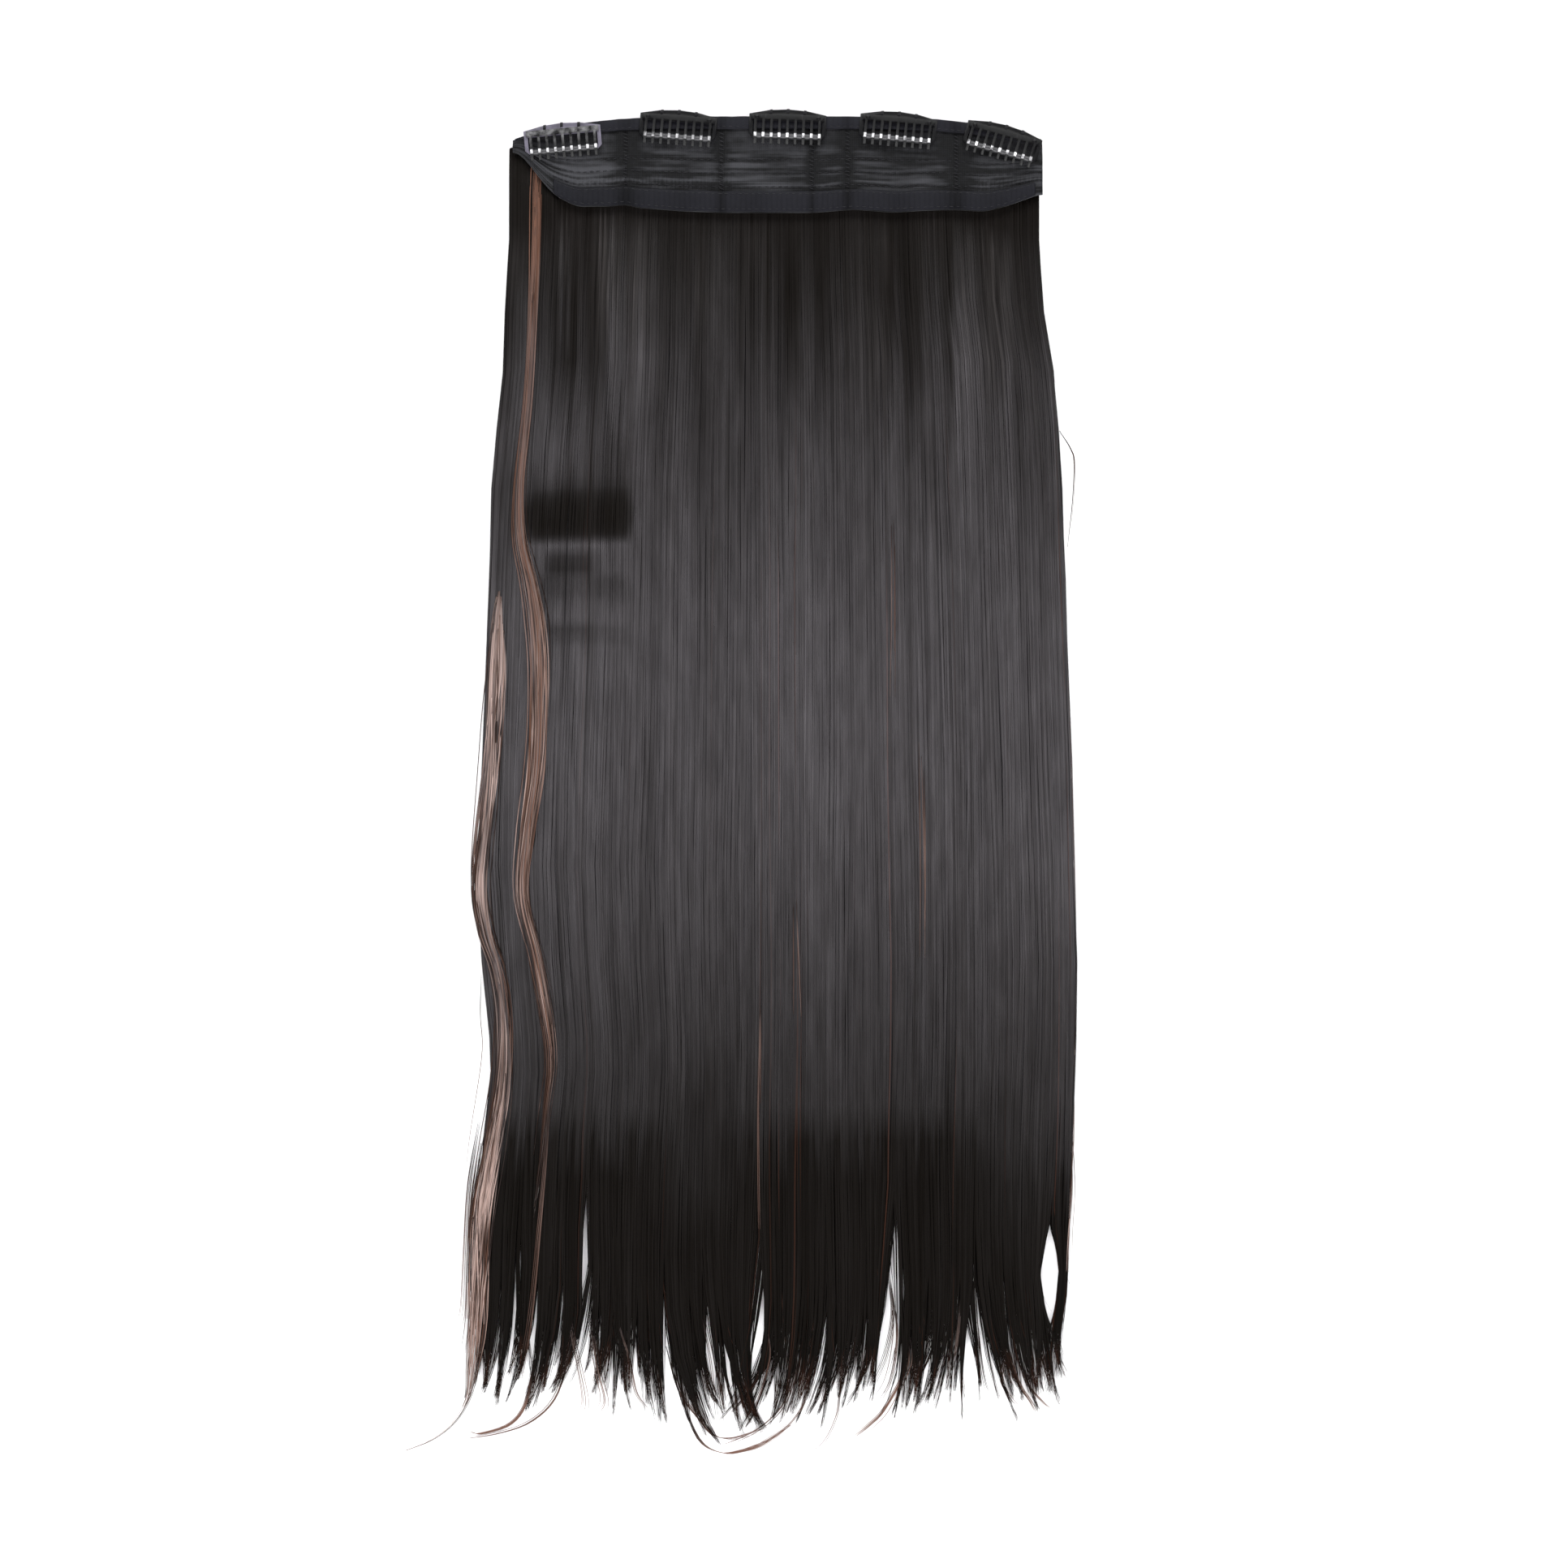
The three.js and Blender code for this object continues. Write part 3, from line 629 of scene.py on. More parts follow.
        # Wander, shared by neighbours and then each strand's own
        x = x + 1.1 * drift.at(x / 9 + 30, down / 130 + self.row) * smooth_step(60, 260, down)
        own = rng.uniform(0, 2 * math.pi, (2, count))[..., None]
        x = x + 0.32 * np.sin(down / 31 + own[0]) * smooth_step(40, 120, down)
        x = x + 0.45 * np.sin(down / 83 + own[1]) * smooth_step(40, 160, down)
        x = self._part(x, down)

        y = FALL_LINE.y(spread, down)
        room = FALL_LINE.thickness(spread, down)
        low = self.row * (room + FALL_LINE.gap)
        level = np.broadcast_to(rng.uniform(0.08, 0.92, count)[:, None], down.shape)
        z = low + room * level
        if self.row == TOP_ROW:
            z = z + self._relief(x, down)
        z = BAND.keep_under(z, down)
        return self._looks(np.stack([x, y, z], axis=-1), down, end, rng)

    def _looks(
        self, path: np.ndarray, down: np.ndarray, end: np.ndarray, rng: np.random.Generator
    ) -> Strands:
        """Gives strands their widths, turns and colours.

        Args:
            path: Their places.
            down: Distances down along them.
            end: Distances down at which they end.
            rng: Source of random numbers.

        Returns:
            The strands.
        """
        count = len(path)
        x = path[..., 0]
        drift = Drift(self.seed + 5)
        taper = 1 - 0.86 * smooth_step(0.72, 1.0, np.clip((down - 400) / (end - 400)[:, None], 0, 1))
        width = self.width * (0.8 + 0.5 * rng.random(count))[:, None] * taper
        roll = 0.06 * drift.at(x / 3.1 + 7, down / 140) + rng.normal(0, 0.06, count)[:, None]
        tone = self._tone(x, down, drift) + rng.normal(0, 0.026, count)[:, None]
        gloss = self._gloss(x, down, drift) * np.clip(rng.normal(1, 0.16, count), 0.3, 1.8)[:, None]
        warm = np.where(rng.random(count) < 0.03, rng.uniform(0.1, 0.35, count), 0.0)[:, None]
        warm = warm * smooth_step(120, 220, down)
        tips = smooth_step(18, 0, end[:, None] - down) * (rng.random(count) < 0.4)[:, None]
        warm = np.clip(warm + 0.65 * tips, 0, 1)
        return Strands(path, width, roll, np.clip(tone, 0, 1), warm, np.clip(gloss, 0, 1))

    def _part(self, x: np.ndarray, down: np.ndarray) -> np.ndarray:
        """Pushes strands out of the slits.

        Args:
            x: Sideways places.
            down: Distances down.

        Returns:
            The sideways places beside the slits.
        """
        for middle, first, last, half in SLITS:
            place = np.clip((down - first) / (last - first), 0, 1)
            opening = np.sin(math.pi * place) * half
            nearest = np.argmin(np.abs(down - min((first + last) / 2, 590.0)), axis=1)
            offset = x - middle
            side = np.where(np.take_along_axis(offset, nearest[:, None], axis=1) < 0, -1.0, 1.0)
            apart = np.maximum(side * offset, 0.0)
            x = x + side * np.exp(-apart / self.slit_reach) * opening
        return x

    def _relief(self, x: np.ndarray, down: np.ndarray) -> np.ndarray:
        """Height that the kinks from packing add to the top row."""
        rise = sum(height * span(*places, down) for *places, height in KINKS)
        return self._kink_zone(x) * rise

    def _tone(self, x: np.ndarray, down: np.ndarray, drift: Drift) -> np.ndarray:
        """How pale the hair is, from 0 to 1, with painted sheen streaks under the hem and painted shade
        past the sheen edge.
        """
        tone = 0.075 + 0.028 * drift.at(x / 7 + 3, down / 150) + 0.025 * drift.at(x / 2.1, down / 90 + 9)
        cloud = 0.5 + 0.5 * drift.at(x / 3.2 + 13, down / 22 + 30)
        streak = np.clip(drift.at(x / 1.2 + 33, down / 45 + 20), -0.3, 1)
        # Painted highlight: streaks of sheen put into the tone under the hem
        for middle, half, first, last, gain in PALE_STREAKS:
            shown = hill(middle, half, x) * span(first - 7, first + 7, last - 16, last + 16, down)
            tone = tone + gain * shown * (0.25 + 0.6 * cloud + 1.3 * streak)
        # Painted shade past the ragged edge where the sheen ends
        return tone - 0.03 * self._past_edge(x, down, drift)

    def _gloss(self, x: np.ndarray, down: np.ndarray, drift: Drift) -> np.ndarray:
        """How much of the sheen shows, from 0 to 1, with painted shade under the hem, over the kinks and
        past the sheen edge.
        """
        uneven = 1 + 6.0 * (1 - smooth_step(60, 190, down))
        streaks = 0.05 * drift.at(x / 9 + 3, down / 160) + 0.07 * drift.at(x / 2.3, down / 90 + 9)
        gloss = 0.6 + uneven * streaks + 0.08 * drift.at(x / 30 + 50, down / 60 + 4)
        for middle, half, first, last, gain in GLOSS_PATCHES:
            shown = hill(middle, half, x) * span(first - 12, first + 12, last - 20, last + 45, down)
            gloss = gloss + gain * shown
        # Painted shadow under the hem: the sheen fades in below the band
        gloss = self.shine * gloss * smooth_step(38, 70, down)
        # Painted shade over the kinks from packing, beside the inner chestnut lock and in two fainter
        # bands below
        loose = x + 2.4 * drift.at(x / 0.9 + 5, down * 0)
        beside = 0.75 * smooth_step(-138, -126, x) * (x < -110)
        zone = np.maximum(self._kink_zone(loose), beside)
        narrow = span(-112, -105, -90, -80, loose)
        dark = np.clip((down + 4 * drift.at(x / 5, down * 0) - 148) / 38, 0, 1) ** 1.5
        dark = dark * (1 - smooth_step(193, 200, down))
        again = span(203, 207, 211, 217, down)
        third = span(236, 240, 243, 247, down)
        gloss = gloss * (1 - 0.97 * zone * dark - narrow * (0.75 * again + 0.35 * third))
        # Painted shade past the ragged edge where the sheen ends
        return gloss * (1 - 0.97 * self._past_edge(x, down, drift))

    def _past_edge(self, x: np.ndarray, down: np.ndarray, drift: Drift) -> np.ndarray:
        """How far the hair is past the ragged edge where the sheen ends, from 0 to 1."""
        edge = self.shine_end + 5 * drift.at(x / 20 + 17, down * 0) + 5 * drift.at(x / 4 + 40, down * 0)
        edge = edge + 7 * drift.at(x / 1.3 + 21, down * 0)
        edge = edge + 5 * hill(-100, 30, x) + 24 * hill(122, 22, x)
        split = hill(-36, 16, x) + 0.6 * hill(108, 18, x)
        sharp, early, late = (smooth_step(-12, 10, down - edge - shift) for shift in (0, -30, 34))
        return sharp * (1 - split) + split * (0.55 * early + 0.45 * late)

    def _kink_zone(self, x: np.ndarray) -> np.ndarray:
        """Where across the hair the kinks from packing lie, from 0 to 1, with soft sides."""
        left, right, soft = self.kink_left, self.kink_right, self.kink_soft
        return span(left - soft, left + soft, right - soft, right + soft, x)


# Paler and darker patches of sheen: middle, half width, first and last distance down, and strength
GLOSS_PATCHES = (
    (-76.5, 2.6, 40, 110, 1.5),
    (-72.0, 1.6, 42, 90, 1.3),
    (-66.0, 5.0, 44, 120, 0.8),
    (-101.0, 0.7, 46, 66, 2.2),
    (-97.5, 0.6, 50, 70, 1.8),
    (91.0, 6.0, 56, 125, 0.9),
    (84.0, 1.5, 50, 120, 0.9),
    (-56.0, 9.0, 52, 110, 0.5),
    (-28.0, 4.0, 52, 90, 0.5),
    (-96.0, 12.0, 90, 125, -0.2),
    (-106.0, 14.0, 128, 160, 0.35),
    (4.0, 24.0, 48, 120, -0.15),
    (-36.0, 9.0, 128, 160, -0.16),
    (-12.0, 8.0, 165, 190, -0.16),
    (73.0, 7.0, 145, 165, -0.25),
    (50.0, 12.0, 60, 110, -0.12),
    (122.0, 8.0, 60, 75, -0.3),
)
# Paler streaks just under the hem, painted highlight in the hair's tone: middle, half width, first and
# last distance down, and strength
PALE_STREAKS = (
    (-79.0, 6.5, 46, 104, 0.5),
    (-97.0, 4.0, 44, 62, 0.4),
    (-62.0, 7.0, 58, 118, 0.42),
    (-121.0, 4.0, 48, 62, 0.2),
    (-34.0, 6.0, 58, 92, 0.24),
    (-10.0, 6.0, 50, 76, 0.12),
    (46.0, 6.0, 54, 82, 0.15),
    (46.0, 7.0, 100, 134, 0.22),
    (74.0, 5.0, 44, 60, 0.12),
    (100.0, 7.5, 56, 122, 0.45),
    (88.0, 2.5, 60, 130, 0.3),
)


# Routes of the chestnut locks: across and down in millimetres, and width
CHESTNUT_INNER = np.array(
    [
        [-112.2, 9.0, 2.6],
        [-112.6, 24.0, 2.8],
        [-112.9, 52.0, 2.9],
        [-114.0, 81.0, 2.7],
        [-116.6, 129.0, 2.8],
        [-120.0, 168.0, 2.9],
        [-119.8, 195.0, 3.8],
        [-115.6, 217.0, 5.0],
        [-113.0, 236.0, 6.4],
        [-112.0, 265.0, 6.6],
        [-113.2, 304.0, 6.0],
        [-117.0, 335.0, 4.8],
        [-118.9, 364.0, 4.2],
        [-112.5, 393.0, 4.4],
        [-107.5, 422.0, 4.6],
        [-105.6, 442.0, 4.2],
        [-107.5, 461.0, 4.0],
        [-112.0, 500.0, 3.4],
        [-117.0, 529.0, 3.0],
    ]
)
CHESTNUT_OUTER = np.array(
    [
        [-129.8, 221.0, 1.2],
        [-131.0, 240.0, 4.2],
        [-131.8, 264.0, 6.0],
        [-134.3, 304.0, 6.0],
        [-139.5, 355.0, 5.4],
        [-136.8, 380.0, 5.4],
        [-131.0, 399.0, 5.4],
        [-128.1, 422.0, 5.4],
        [-128.8, 451.0, 6.0],
        [-133.4, 480.0, 6.6],
        [-138.4, 510.0, 7.4],
        [-140.2, 539.0, 7.6],
        [-141.4, 568.0, 6.4],
        [-143.0, 585.0, 4.2],
        [-145.4, 600.0, 1.8],
        [-152.0, 611.0, 1.2],
        [-162.0, 619.0, 0.9],
        [-174.5, 624.0, 0.7],
    ]
)
# How pale the locks are down their length: distance down, then share
INNER_SHADE = (
    (40.0, 0.12),
    (97.0, 0.45),
    (135.0, 0.3),
    (175.0, 0.33),
    (234.0, 0.55),
    (344.0, 0.52),
    (400.0, 0.5),
    (439.0, 0.75),
    (470.0, 0.4),
)
OUTER_SHADE = (
    (225.0, 0.8),
    (250.0, 1.0),
    (275.0, 0.75),
    (325.0, 0.75),
    (363.0, 0.62),
    (401.0, 0.58),
    (445.0, 0.45),
    (477.0, 0.85),
    (505.0, 1.8),
    (580.0, 2.0),
)


@dataclass
class ChestnutLock:
    """A thin chestnut lock that lies on the dark hair."""

    node: str
    route: np.ndarray
    strands: int
    seed: int
    short_share: float
    cut: tuple[float, float]
    warm: float
    fade: float
    shade: tuple[tuple[float, float], ...]
    stagger: float
    rings: int = 84
    width: float = 0.44
    lift: float = 0.35
    layer: float = 0.22
    kink_lift: float = 2.2

    def build(self) -> bpy.types.Object:
        """Makes the lock.

        Returns:
            One mesh of all its strands.
        """
        rng = np.random.default_rng(self.seed)
        length = np.concatenate([[0], np.cumsum(np.hypot(*np.diff(self.route[:, :2], axis=0).T))])
        share = length / length[-1]
        place = np.broadcast_to(np.linspace(0, 1, self.rings), (self.strands, self.rings))
        short = rng.random(self.strands) < self.short_share
        ends = 1 - np.where(short, rng.uniform(*self.cut, self.strands), 0)
        starts = rng.uniform(0, self.stagger, self.strands)
        place = starts[:, None] + place * (ends - starts)[:, None]
        stop = np.interp(place, share, np.arange(len(share)))
        x, down, wide = (spline(column, stop) for column in self.route.T)
        seat = np.clip(rng.normal(0, 0.29, self.strands), -0.85, 0.85)[:, None]
        weave = 0.2 * np.sin(place * rng.uniform(6, 22, self.strands)[:, None] + seat * 40)
        x = x + wide * (seat + weave)
        across = np.clip(np.abs(x) / np.abs(FALL_LINE.x(np.full_like(down, -1.0), down)), 0, 1)
        on_pile = FALL_LINE.pile_top(4, across, down) + self.lift
        off_pile = smooth_step(580, 602, down)
        level = self.layer * rng.integers(0, 4, self.strands)[:, None]
        z = on_pile * (1 - off_pile) + 0.35 * off_pile + level
        z = BAND.keep_under(z + self._over_kink(x, down), down)
        path = np.stack([x, FALL_LINE.y(-across, down), z], axis=-1)
        width = self.width * (0.8 + 0.5 * rng.random(self.strands))[:, None] * (1 - 0.7 * place**4)
        roll = rng.normal(0, 0.16, self.strands)[:, None] + 0 * place
        clumps = Drift(self.seed + 3)
        tone = 0.3 + 0.6 * clumps.at(seat * 7 + 20, down / 90)
        tone = tone + rng.normal(0, 0.3, self.strands)[:, None]
        tone = tone + 0.9 * clumps.at(seat * 9 + 40, down / 24) * smooth_step(230, 290, down)
        own_share = (place - starts[:, None]) / (ends - starts)[:, None]
        fading = smooth_step(1.0, 0.78, own_share) ** self.fade
        tone = (tone - 0.35 * np.abs(seat)) * fading * np.interp(down, *np.array(self.shade).T)
        warm = self.warm + rng.normal(0, 0.25, self.strands)[:, None]
        warm = warm + 0.6 * (1 - self.fade) * place**6
        warm = warm + 0.35 * smooth_step(90, 50, down)
        warm = np.clip(warm * fading, 0, 1)
        gloss = np.clip(0.2 + 0.55 * clumps.at(seat * 6 + 40, down / 60), 0, 1)
        # Painted shadow under the hem: the sheen fades in below the band
        gloss = gloss * smooth_step(36, 70, down)
        skin = Skin()
        Strands(path, width, roll, np.clip(tone, 0, 1), warm, gloss).skin(skin)
        return skin.make(f"{self.node}_strands")

    def _over_kink(self, x: np.ndarray, down: np.ndarray) -> np.ndarray:
        """Lifts the lock where it crosses the kinked hair."""
        return self.kink_lift * smooth_step(-119, -112, x) * span(168, 194, 198, 226, down)


# Single hairs that stray from the locks: places as across and down in millimetres, then the colour as
# tone and warmth, and how many hairs run together
STRAYS = (
    ([(131.9, 141), (137.0, 150), (138.7, 157), (138.0, 176), (135.7, 199)], 0.1, 0.1, 3),
    ([(-138.7, 401), (-139.0, 420), (-138.3, 439), (-144.0, 477), (-146.0, 496)], 0.3, 0.1, 1),
    ([(-106, 440), (-108, 480), (-111.5, 520), (-115.5, 560), (-120.5, 590)], 0.07, 0.25, 7),
    ([(-139.8, 470), (-144.5, 500), (-146.2, 530), (-147.4, 556), (-149.0, 565)], 0.4, 0.0, 5),
    ([(-139.0, 480), (-143.5, 520), (-144.5, 560), (-146.5, 578)], 0.35, 0.0, 5),
    ([(-110, 570), (-115, 590), (-119, 604), (-126.2, 612), (-139.1, 616), (-144, 615)], 0.6, 0.85, 8),
    ([(-96, 568), (-99.5, 586), (-105.5, 601), (-117, 611), (-131.9, 616), (-145, 618)], 0.4, 0.55, 5),
    ([(-52, 575), (-46, 596), (-36, 610), (-29.6, 617), (-20.0, 618), (-7.0, 614)], 0.5, 0.5, 7),
    ([(-45, 600), (-36.5, 619), (-26.0, 625), (-16.0, 624), (-7.0, 621), (6.0, 612)], 0.75, 0.95, 9),
    ([(9.1, 572), (8.0, 588), (3.0, 602), (-5.0, 611), (-14.4, 617), (-24.0, 621)], 0.3, 0.3, 4),
    ([(14.0, 585), (12.2, 602), (0.8, 616), (-14.4, 623), (-22.0, 625)], 0.5, 0.8, 2),
    ([(31, 580), (29.3, 599), (28.1, 608), (23.2, 619), (16.0, 626)], 0.35, 0.5, 2),
    ([(61, 570), (60.8, 584), (50.5, 604), (43.0, 612), (36.5, 617)], 0.75, 0.9, 8),
    ([(108, 575), (104.5, 590), (109.5, 600), (113.0, 603)], 0.4, 0.5, 2),
    ([(112, 575), (117, 592), (124, 601), (127.5, 604)], 0.6, 0.7, 4),
    ([(106, 570), (112, 590), (119.0, 602), (121.0, 606)], 0.5, 0.7, 3),
    ([(137.0, 470), (138.0, 500), (136.5, 522), (135.8, 540)], 0.5, 0.0, 3),
    ([(139.0, 420), (138.6, 450), (138.4, 478), (137.0, 500)], 0.5, 0.0, 2),
    ([(-98, 560), (-93, 585), (-90.6, 600), (-92.0, 607)], 0.5, 0.2, 5),
    ([(-88, 560), (-84, 585), (-80.6, 600), (-82.6, 606)], 0.5, 0.2, 6),
    ([(-76, 560), (-70, 580), (-67.0, 596), (-62.0, 604)], 0.4, 0.1, 5),
    ([(-35, 560), (-31, 580), (-28.5, 600), (-27.0, 610)], 0.1, 0.15, 3),
    ([(-5, 566), (-4, 580), (-9.0, 598), (-13.5, 606)], 0.12, 0.35, 3),
    ([(52, 540), (54, 560), (50.5, 580), (46.0, 592)], 0.08, 0.1, 5),
    ([(54, 552), (55.5, 570), (52.5, 590), (47.0, 601)], 0.15, 0.3, 4),
    ([(86, 552), (84, 572), (81.0, 588), (79.5, 596)], 0.05, 0.0, 4),
    ([(93, 560), (95, 580), (97.0, 592), (99.0, 597)], 0.05, 0.0, 3),
)
# Warm strands that lie on the dark hair, as across, first and last distance down, and tone
WARM_STRANDS = (
    (52.4, 180, 271, 0.3),
    (53.9, 195, 250, 0.2),
    (66.9, 284, 393, 0.55),
    (67.6, 300, 380, 0.3),
    (-8.7, 413, 461, 0.5),
    (8.4, 363, 420, 0.3),
    (-7.6, 430, 520, 0.3),
)


@dataclass
class Flyaways:
    """Single hairs that stray, curl past the tips or lie on the top row."""

    seed: int = 71
    rings: int = 22
    width: float = 0.36
    spread: float = 1.1
    sink: float = 1.6
    rest_height: float = 0.4

    def build(self) -> bpy.types.Object:
        """Makes them all as one mesh.

        Returns:
            The mesh object.
        """
        rng = np.random.default_rng(self.seed)
        skin = Skin()
        for points, tone, warm, count in STRAYS:
            self._hairs(np.array(points, float), tone, warm, count, rng).skin(skin)
        for across, first, last, tone in WARM_STRANDS:
            downs = np.linspace(first, last, 5)
            bend = 0.8 * np.sin(downs / 37 + across)
            self._hairs(np.stack([across + bend, downs], axis=1), 0.25 * tone, 0.35, 2, rng).skin(skin)
        return skin.make("flyaway_hairs")

    def _hairs(
        self, points: np.ndarray, tone: float, warm: float, count: int, rng: np.random.Generator
    ) -> Strands:
        """Lays hairs along a line.

        Args:
            points: Places along the line, across and down.
            tone: How pale they are.
            warm: How red they are.
            count: Number of hairs.
            rng: Source of random numbers.

        Returns:
            The hairs.
        """
        place = np.linspace(0, len(points) - 1, self.rings)
        line = np.stack([spline(points[:, i], place) for i in (0, 1)], axis=1)
        fan = rng.normal(0, 1, (count, 1)) * np.linspace(0.35, 1, self.rings) * self.spread * (count > 1)
        x = line[None, :, 0] + fan
        down = line[None, :, 1] + 0.25 * fan
        rim = FALL_LINE.x(np.sign(x), down)
        across = np.clip(x / rim, 0, 1)
        inside = np.abs(x) < np.abs(rim)
        top = np.where(inside, FALL_LINE.pile_top(4, across, down) + 0.25, 2.2)
        z = top + (self.rest_height - top) * smooth_step(566, 606, down)
        z = z + rng.uniform(0, 0.25, count)[:, None]
        along = np.linspace(0, 1, self.rings)
        z = z - np.minimum(self.sink * smooth_step(0.2, 0.0, along), z - self.rest_height)
        path = np.stack([x, FALL_LINE.y(across, down) + 0 * x, z], axis=-1)
        shape = (count, self.rings)
        width = self.width * (0.75 + 0.5 * rng.random((count, 1))) * (1 - 0.75 * along**3)
        width = width * (0.25 + 0.75 * smooth_step(0, 0.2, along))
        roll = rng.normal(0, 0.1, (count, 1)) + np.zeros(shape)
        fade_in = smooth_step(0.1, 0.5, along)
        tones = np.clip(tone + rng.normal(0, 0.1, (count, 1)), 0, 1) * fade_in
        warms = warm * fade_in + np.zeros(shape)
        return Strands(path, width, roll, tones, warms, np.full(shape, 0.2))


def spline(values: np.ndarray, place: np.ndarray) -> np.ndarray:
    """Reads a list of values along a smooth curve through them.

    Args:
        values: Values at the places 0, 1, 2 and so on.
        place: Places to read.

    Returns:
        The value at each place.
    """
    padded = np.concatenate([[2 * values[0] - values[1]], values, [2 * values[-1] - values[-2]]])
    i = np.clip(np.floor(place).astype(int), 0, len(values) - 2)
    t = place - i
    a, b, c, d = (padded[i + k] for k in range(4))
    square, cube = 2 * a - 5 * b + 4 * c - d, 3 * b - a - 3 * c + d
    return 0.5 * (2 * b + (c - a) * t + square * t**2 + cube * t**3)


# Seams of the lace as shares of half the band
PANEL_SEAMS = (-0.573, -0.211, 0.129, 0.264, 0.674)
# How far across the painted shade in the folds at each seam reaches
SEAM_SHADE = (0.06, 0.03, 0.022, 0.03, 0.055)
# How pale each panel is
PANEL_TONES = np.array([0.4, 0.26, 0.36, 0.18, 0.19, 0.22])
# Paler and darker patches of the cloth: place across and half width, place down and half height, strength
LACE_PATCHES = (
    (-0.73, 0.11, 28.0, 6.0, 0.5),
    (-0.04, 0.16, 33.0, 1.4, 0.3),
    (0.54, 0.07, 31.0, 5.0, 0.6),
    (0.38, 0.1, 19.0, 5.0, -0.25),
    (-0.03, 0.2, 23.0, 0.9, 0.16),
)
# Distances down of the three pleats
TRACKS = (19.5, 25.8, 32.4)
# Cross-section of a pleat: height, place below its track and half width
PLEAT = ((0.55, -0.4, 1.25), (-0.22, 1.5, 0.45), (0.12, -3.1, 0.8))
# Cross-section of a seam: height, and place beside it in half widths
SEAM = ((-0.34, 0.0), (0.2, 2.3), (0.2, -2.3))


@dataclass
class LaceBase:
    """The lace cloth of the band, its pleats over the sewn rows and its seams."""

    columns: int = 310
    lines: int = 72
    cloth: float = 0.85
    seam_half: float = 0.0075
    seed: int = 5

    def build(self) -> bpy.types.Object:
        """Makes the sheet.

        Returns:
            One closed sheet of cloth.
        """
        across = np.linspace(-0.9985, 0.9985, self.columns)[None, :]
        down = np.linspace(0.1, BAND.height, self.lines)[:, None]
        top = self.cloth + self._relief(across, down)
        tone = self._tone(across, down)
        under = BAND.point(across, down, np.full_like(top, 0.06))
        upper = BAND.point(across, down, top)
        return self._closed(upper, under, tone)

    def _relief(self, across: np.ndarray, down: np.ndarray) -> np.ndarray:
        """Height of the cloth's face over its plain thickness."""
        drift = Drift(self.seed)
        sway = 0.35 * drift.at(across * 9 + 20, down * 0 + 3)
        relief = np.zeros(np.broadcast(across, down).shape)
        for track in TRACKS:
            for height, below, half in PLEAT:
                relief += height * hill(track + sway + below, half, down)
        for seam in PANEL_SEAMS:
            for height, beside in SEAM:
                relief += height * hill(seam + beside * self.seam_half, self.seam_half, across)
        relief += 0.13 * drift.at(across * 26 + 8, down / 5)
        relief += 0.06 * drift.at(across * 70, down / 2.2)
        rim = span(0, 1.4, 44.2, BAND.height, down)
        return np.clip(relief, -0.3, 0.7) * rim

    def _tone(self, across: np.ndarray, down: np.ndarray) -> np.ndarray:
        """How pale the cloth is, panel by panel, with painted shade at the seams and the pleats and a
        painted highlight on the pleats.
        """
        panel = np.searchsorted(PANEL_SEAMS, across + 0 * down)
        tone = PANEL_TONES[panel]
        drift = Drift(self.seed + 1)
        tone = tone + 0.2 * drift.at(across * 14 + 5, down / 3)
        streaks = drift.at(across * 5 + 30, down * 0.75)
        streaks = streaks + 0.7 * drift.at(across * 13 + 40, down * 1.6)
        tone = tone + streaks * (0.1 + 0.38 * smooth_step(13, 22, down))
        ticks = np.sign(np.sin(across * BAND.half * 3.2 + drift.at(across * 20, down)))
        tone = tone + 0.13 * ticks * hill(32.5, 3.0, down) * (drift.at(across * 3 + 9, down * 0) > -0.2)
        for middle, half, level, reach, gain in LACE_PATCHES:
            tone = tone + gain * hill(middle, half, across) * hill(level, reach, down)
        # Painted shade in the folds at the seams
        for seam, half in zip(PANEL_SEAMS, SEAM_SHADE):
            tone = tone - 0.55 * hill(seam, half, across)
        # A painted highlight on each pleat's ridge and painted shade in the groove below it
        for track in TRACKS:
            uneven = 1 + drift.at(across * 6, down * 0 + track)
            tone = tone + 0.1 * hill(track - 0.6, 1.0, down) * uneven
            tone = tone - 0.3 * hill(track + 1.5, 0.8, down)
        return np.clip(tone, 0, 1)

    def _closed(self, upper: np.ndarray, under: np.ndarray, tone: np.ndarray) -> bpy.types.Object:
        """Joins the face and the underside along their rims."""
        rows, columns = upper.shape[:2]
        face = strip_faces(rows, columns, False)[:, ::-1]
        back = strip_faces(rows, columns, False) + rows * columns
        grid = np.arange(rows * columns).reshape(rows, columns)
        rim = np.concatenate([grid[0], grid[1:, -1], grid[-1, -2::-1], grid[-2:0:-1, 0]])
        after = np.roll(rim, -1)
        wall = np.stack([rim, after, after + rows * columns, rim + rows * columns], axis=1)
        skin = Skin()
        points = np.concatenate([upper.reshape(-1, 3), under.reshape(-1, 3)])
        skin.add(points, [face, back, wall], tone=np.concatenate([tone.ravel(), tone.ravel()]))
        return skin.make("lace_base")


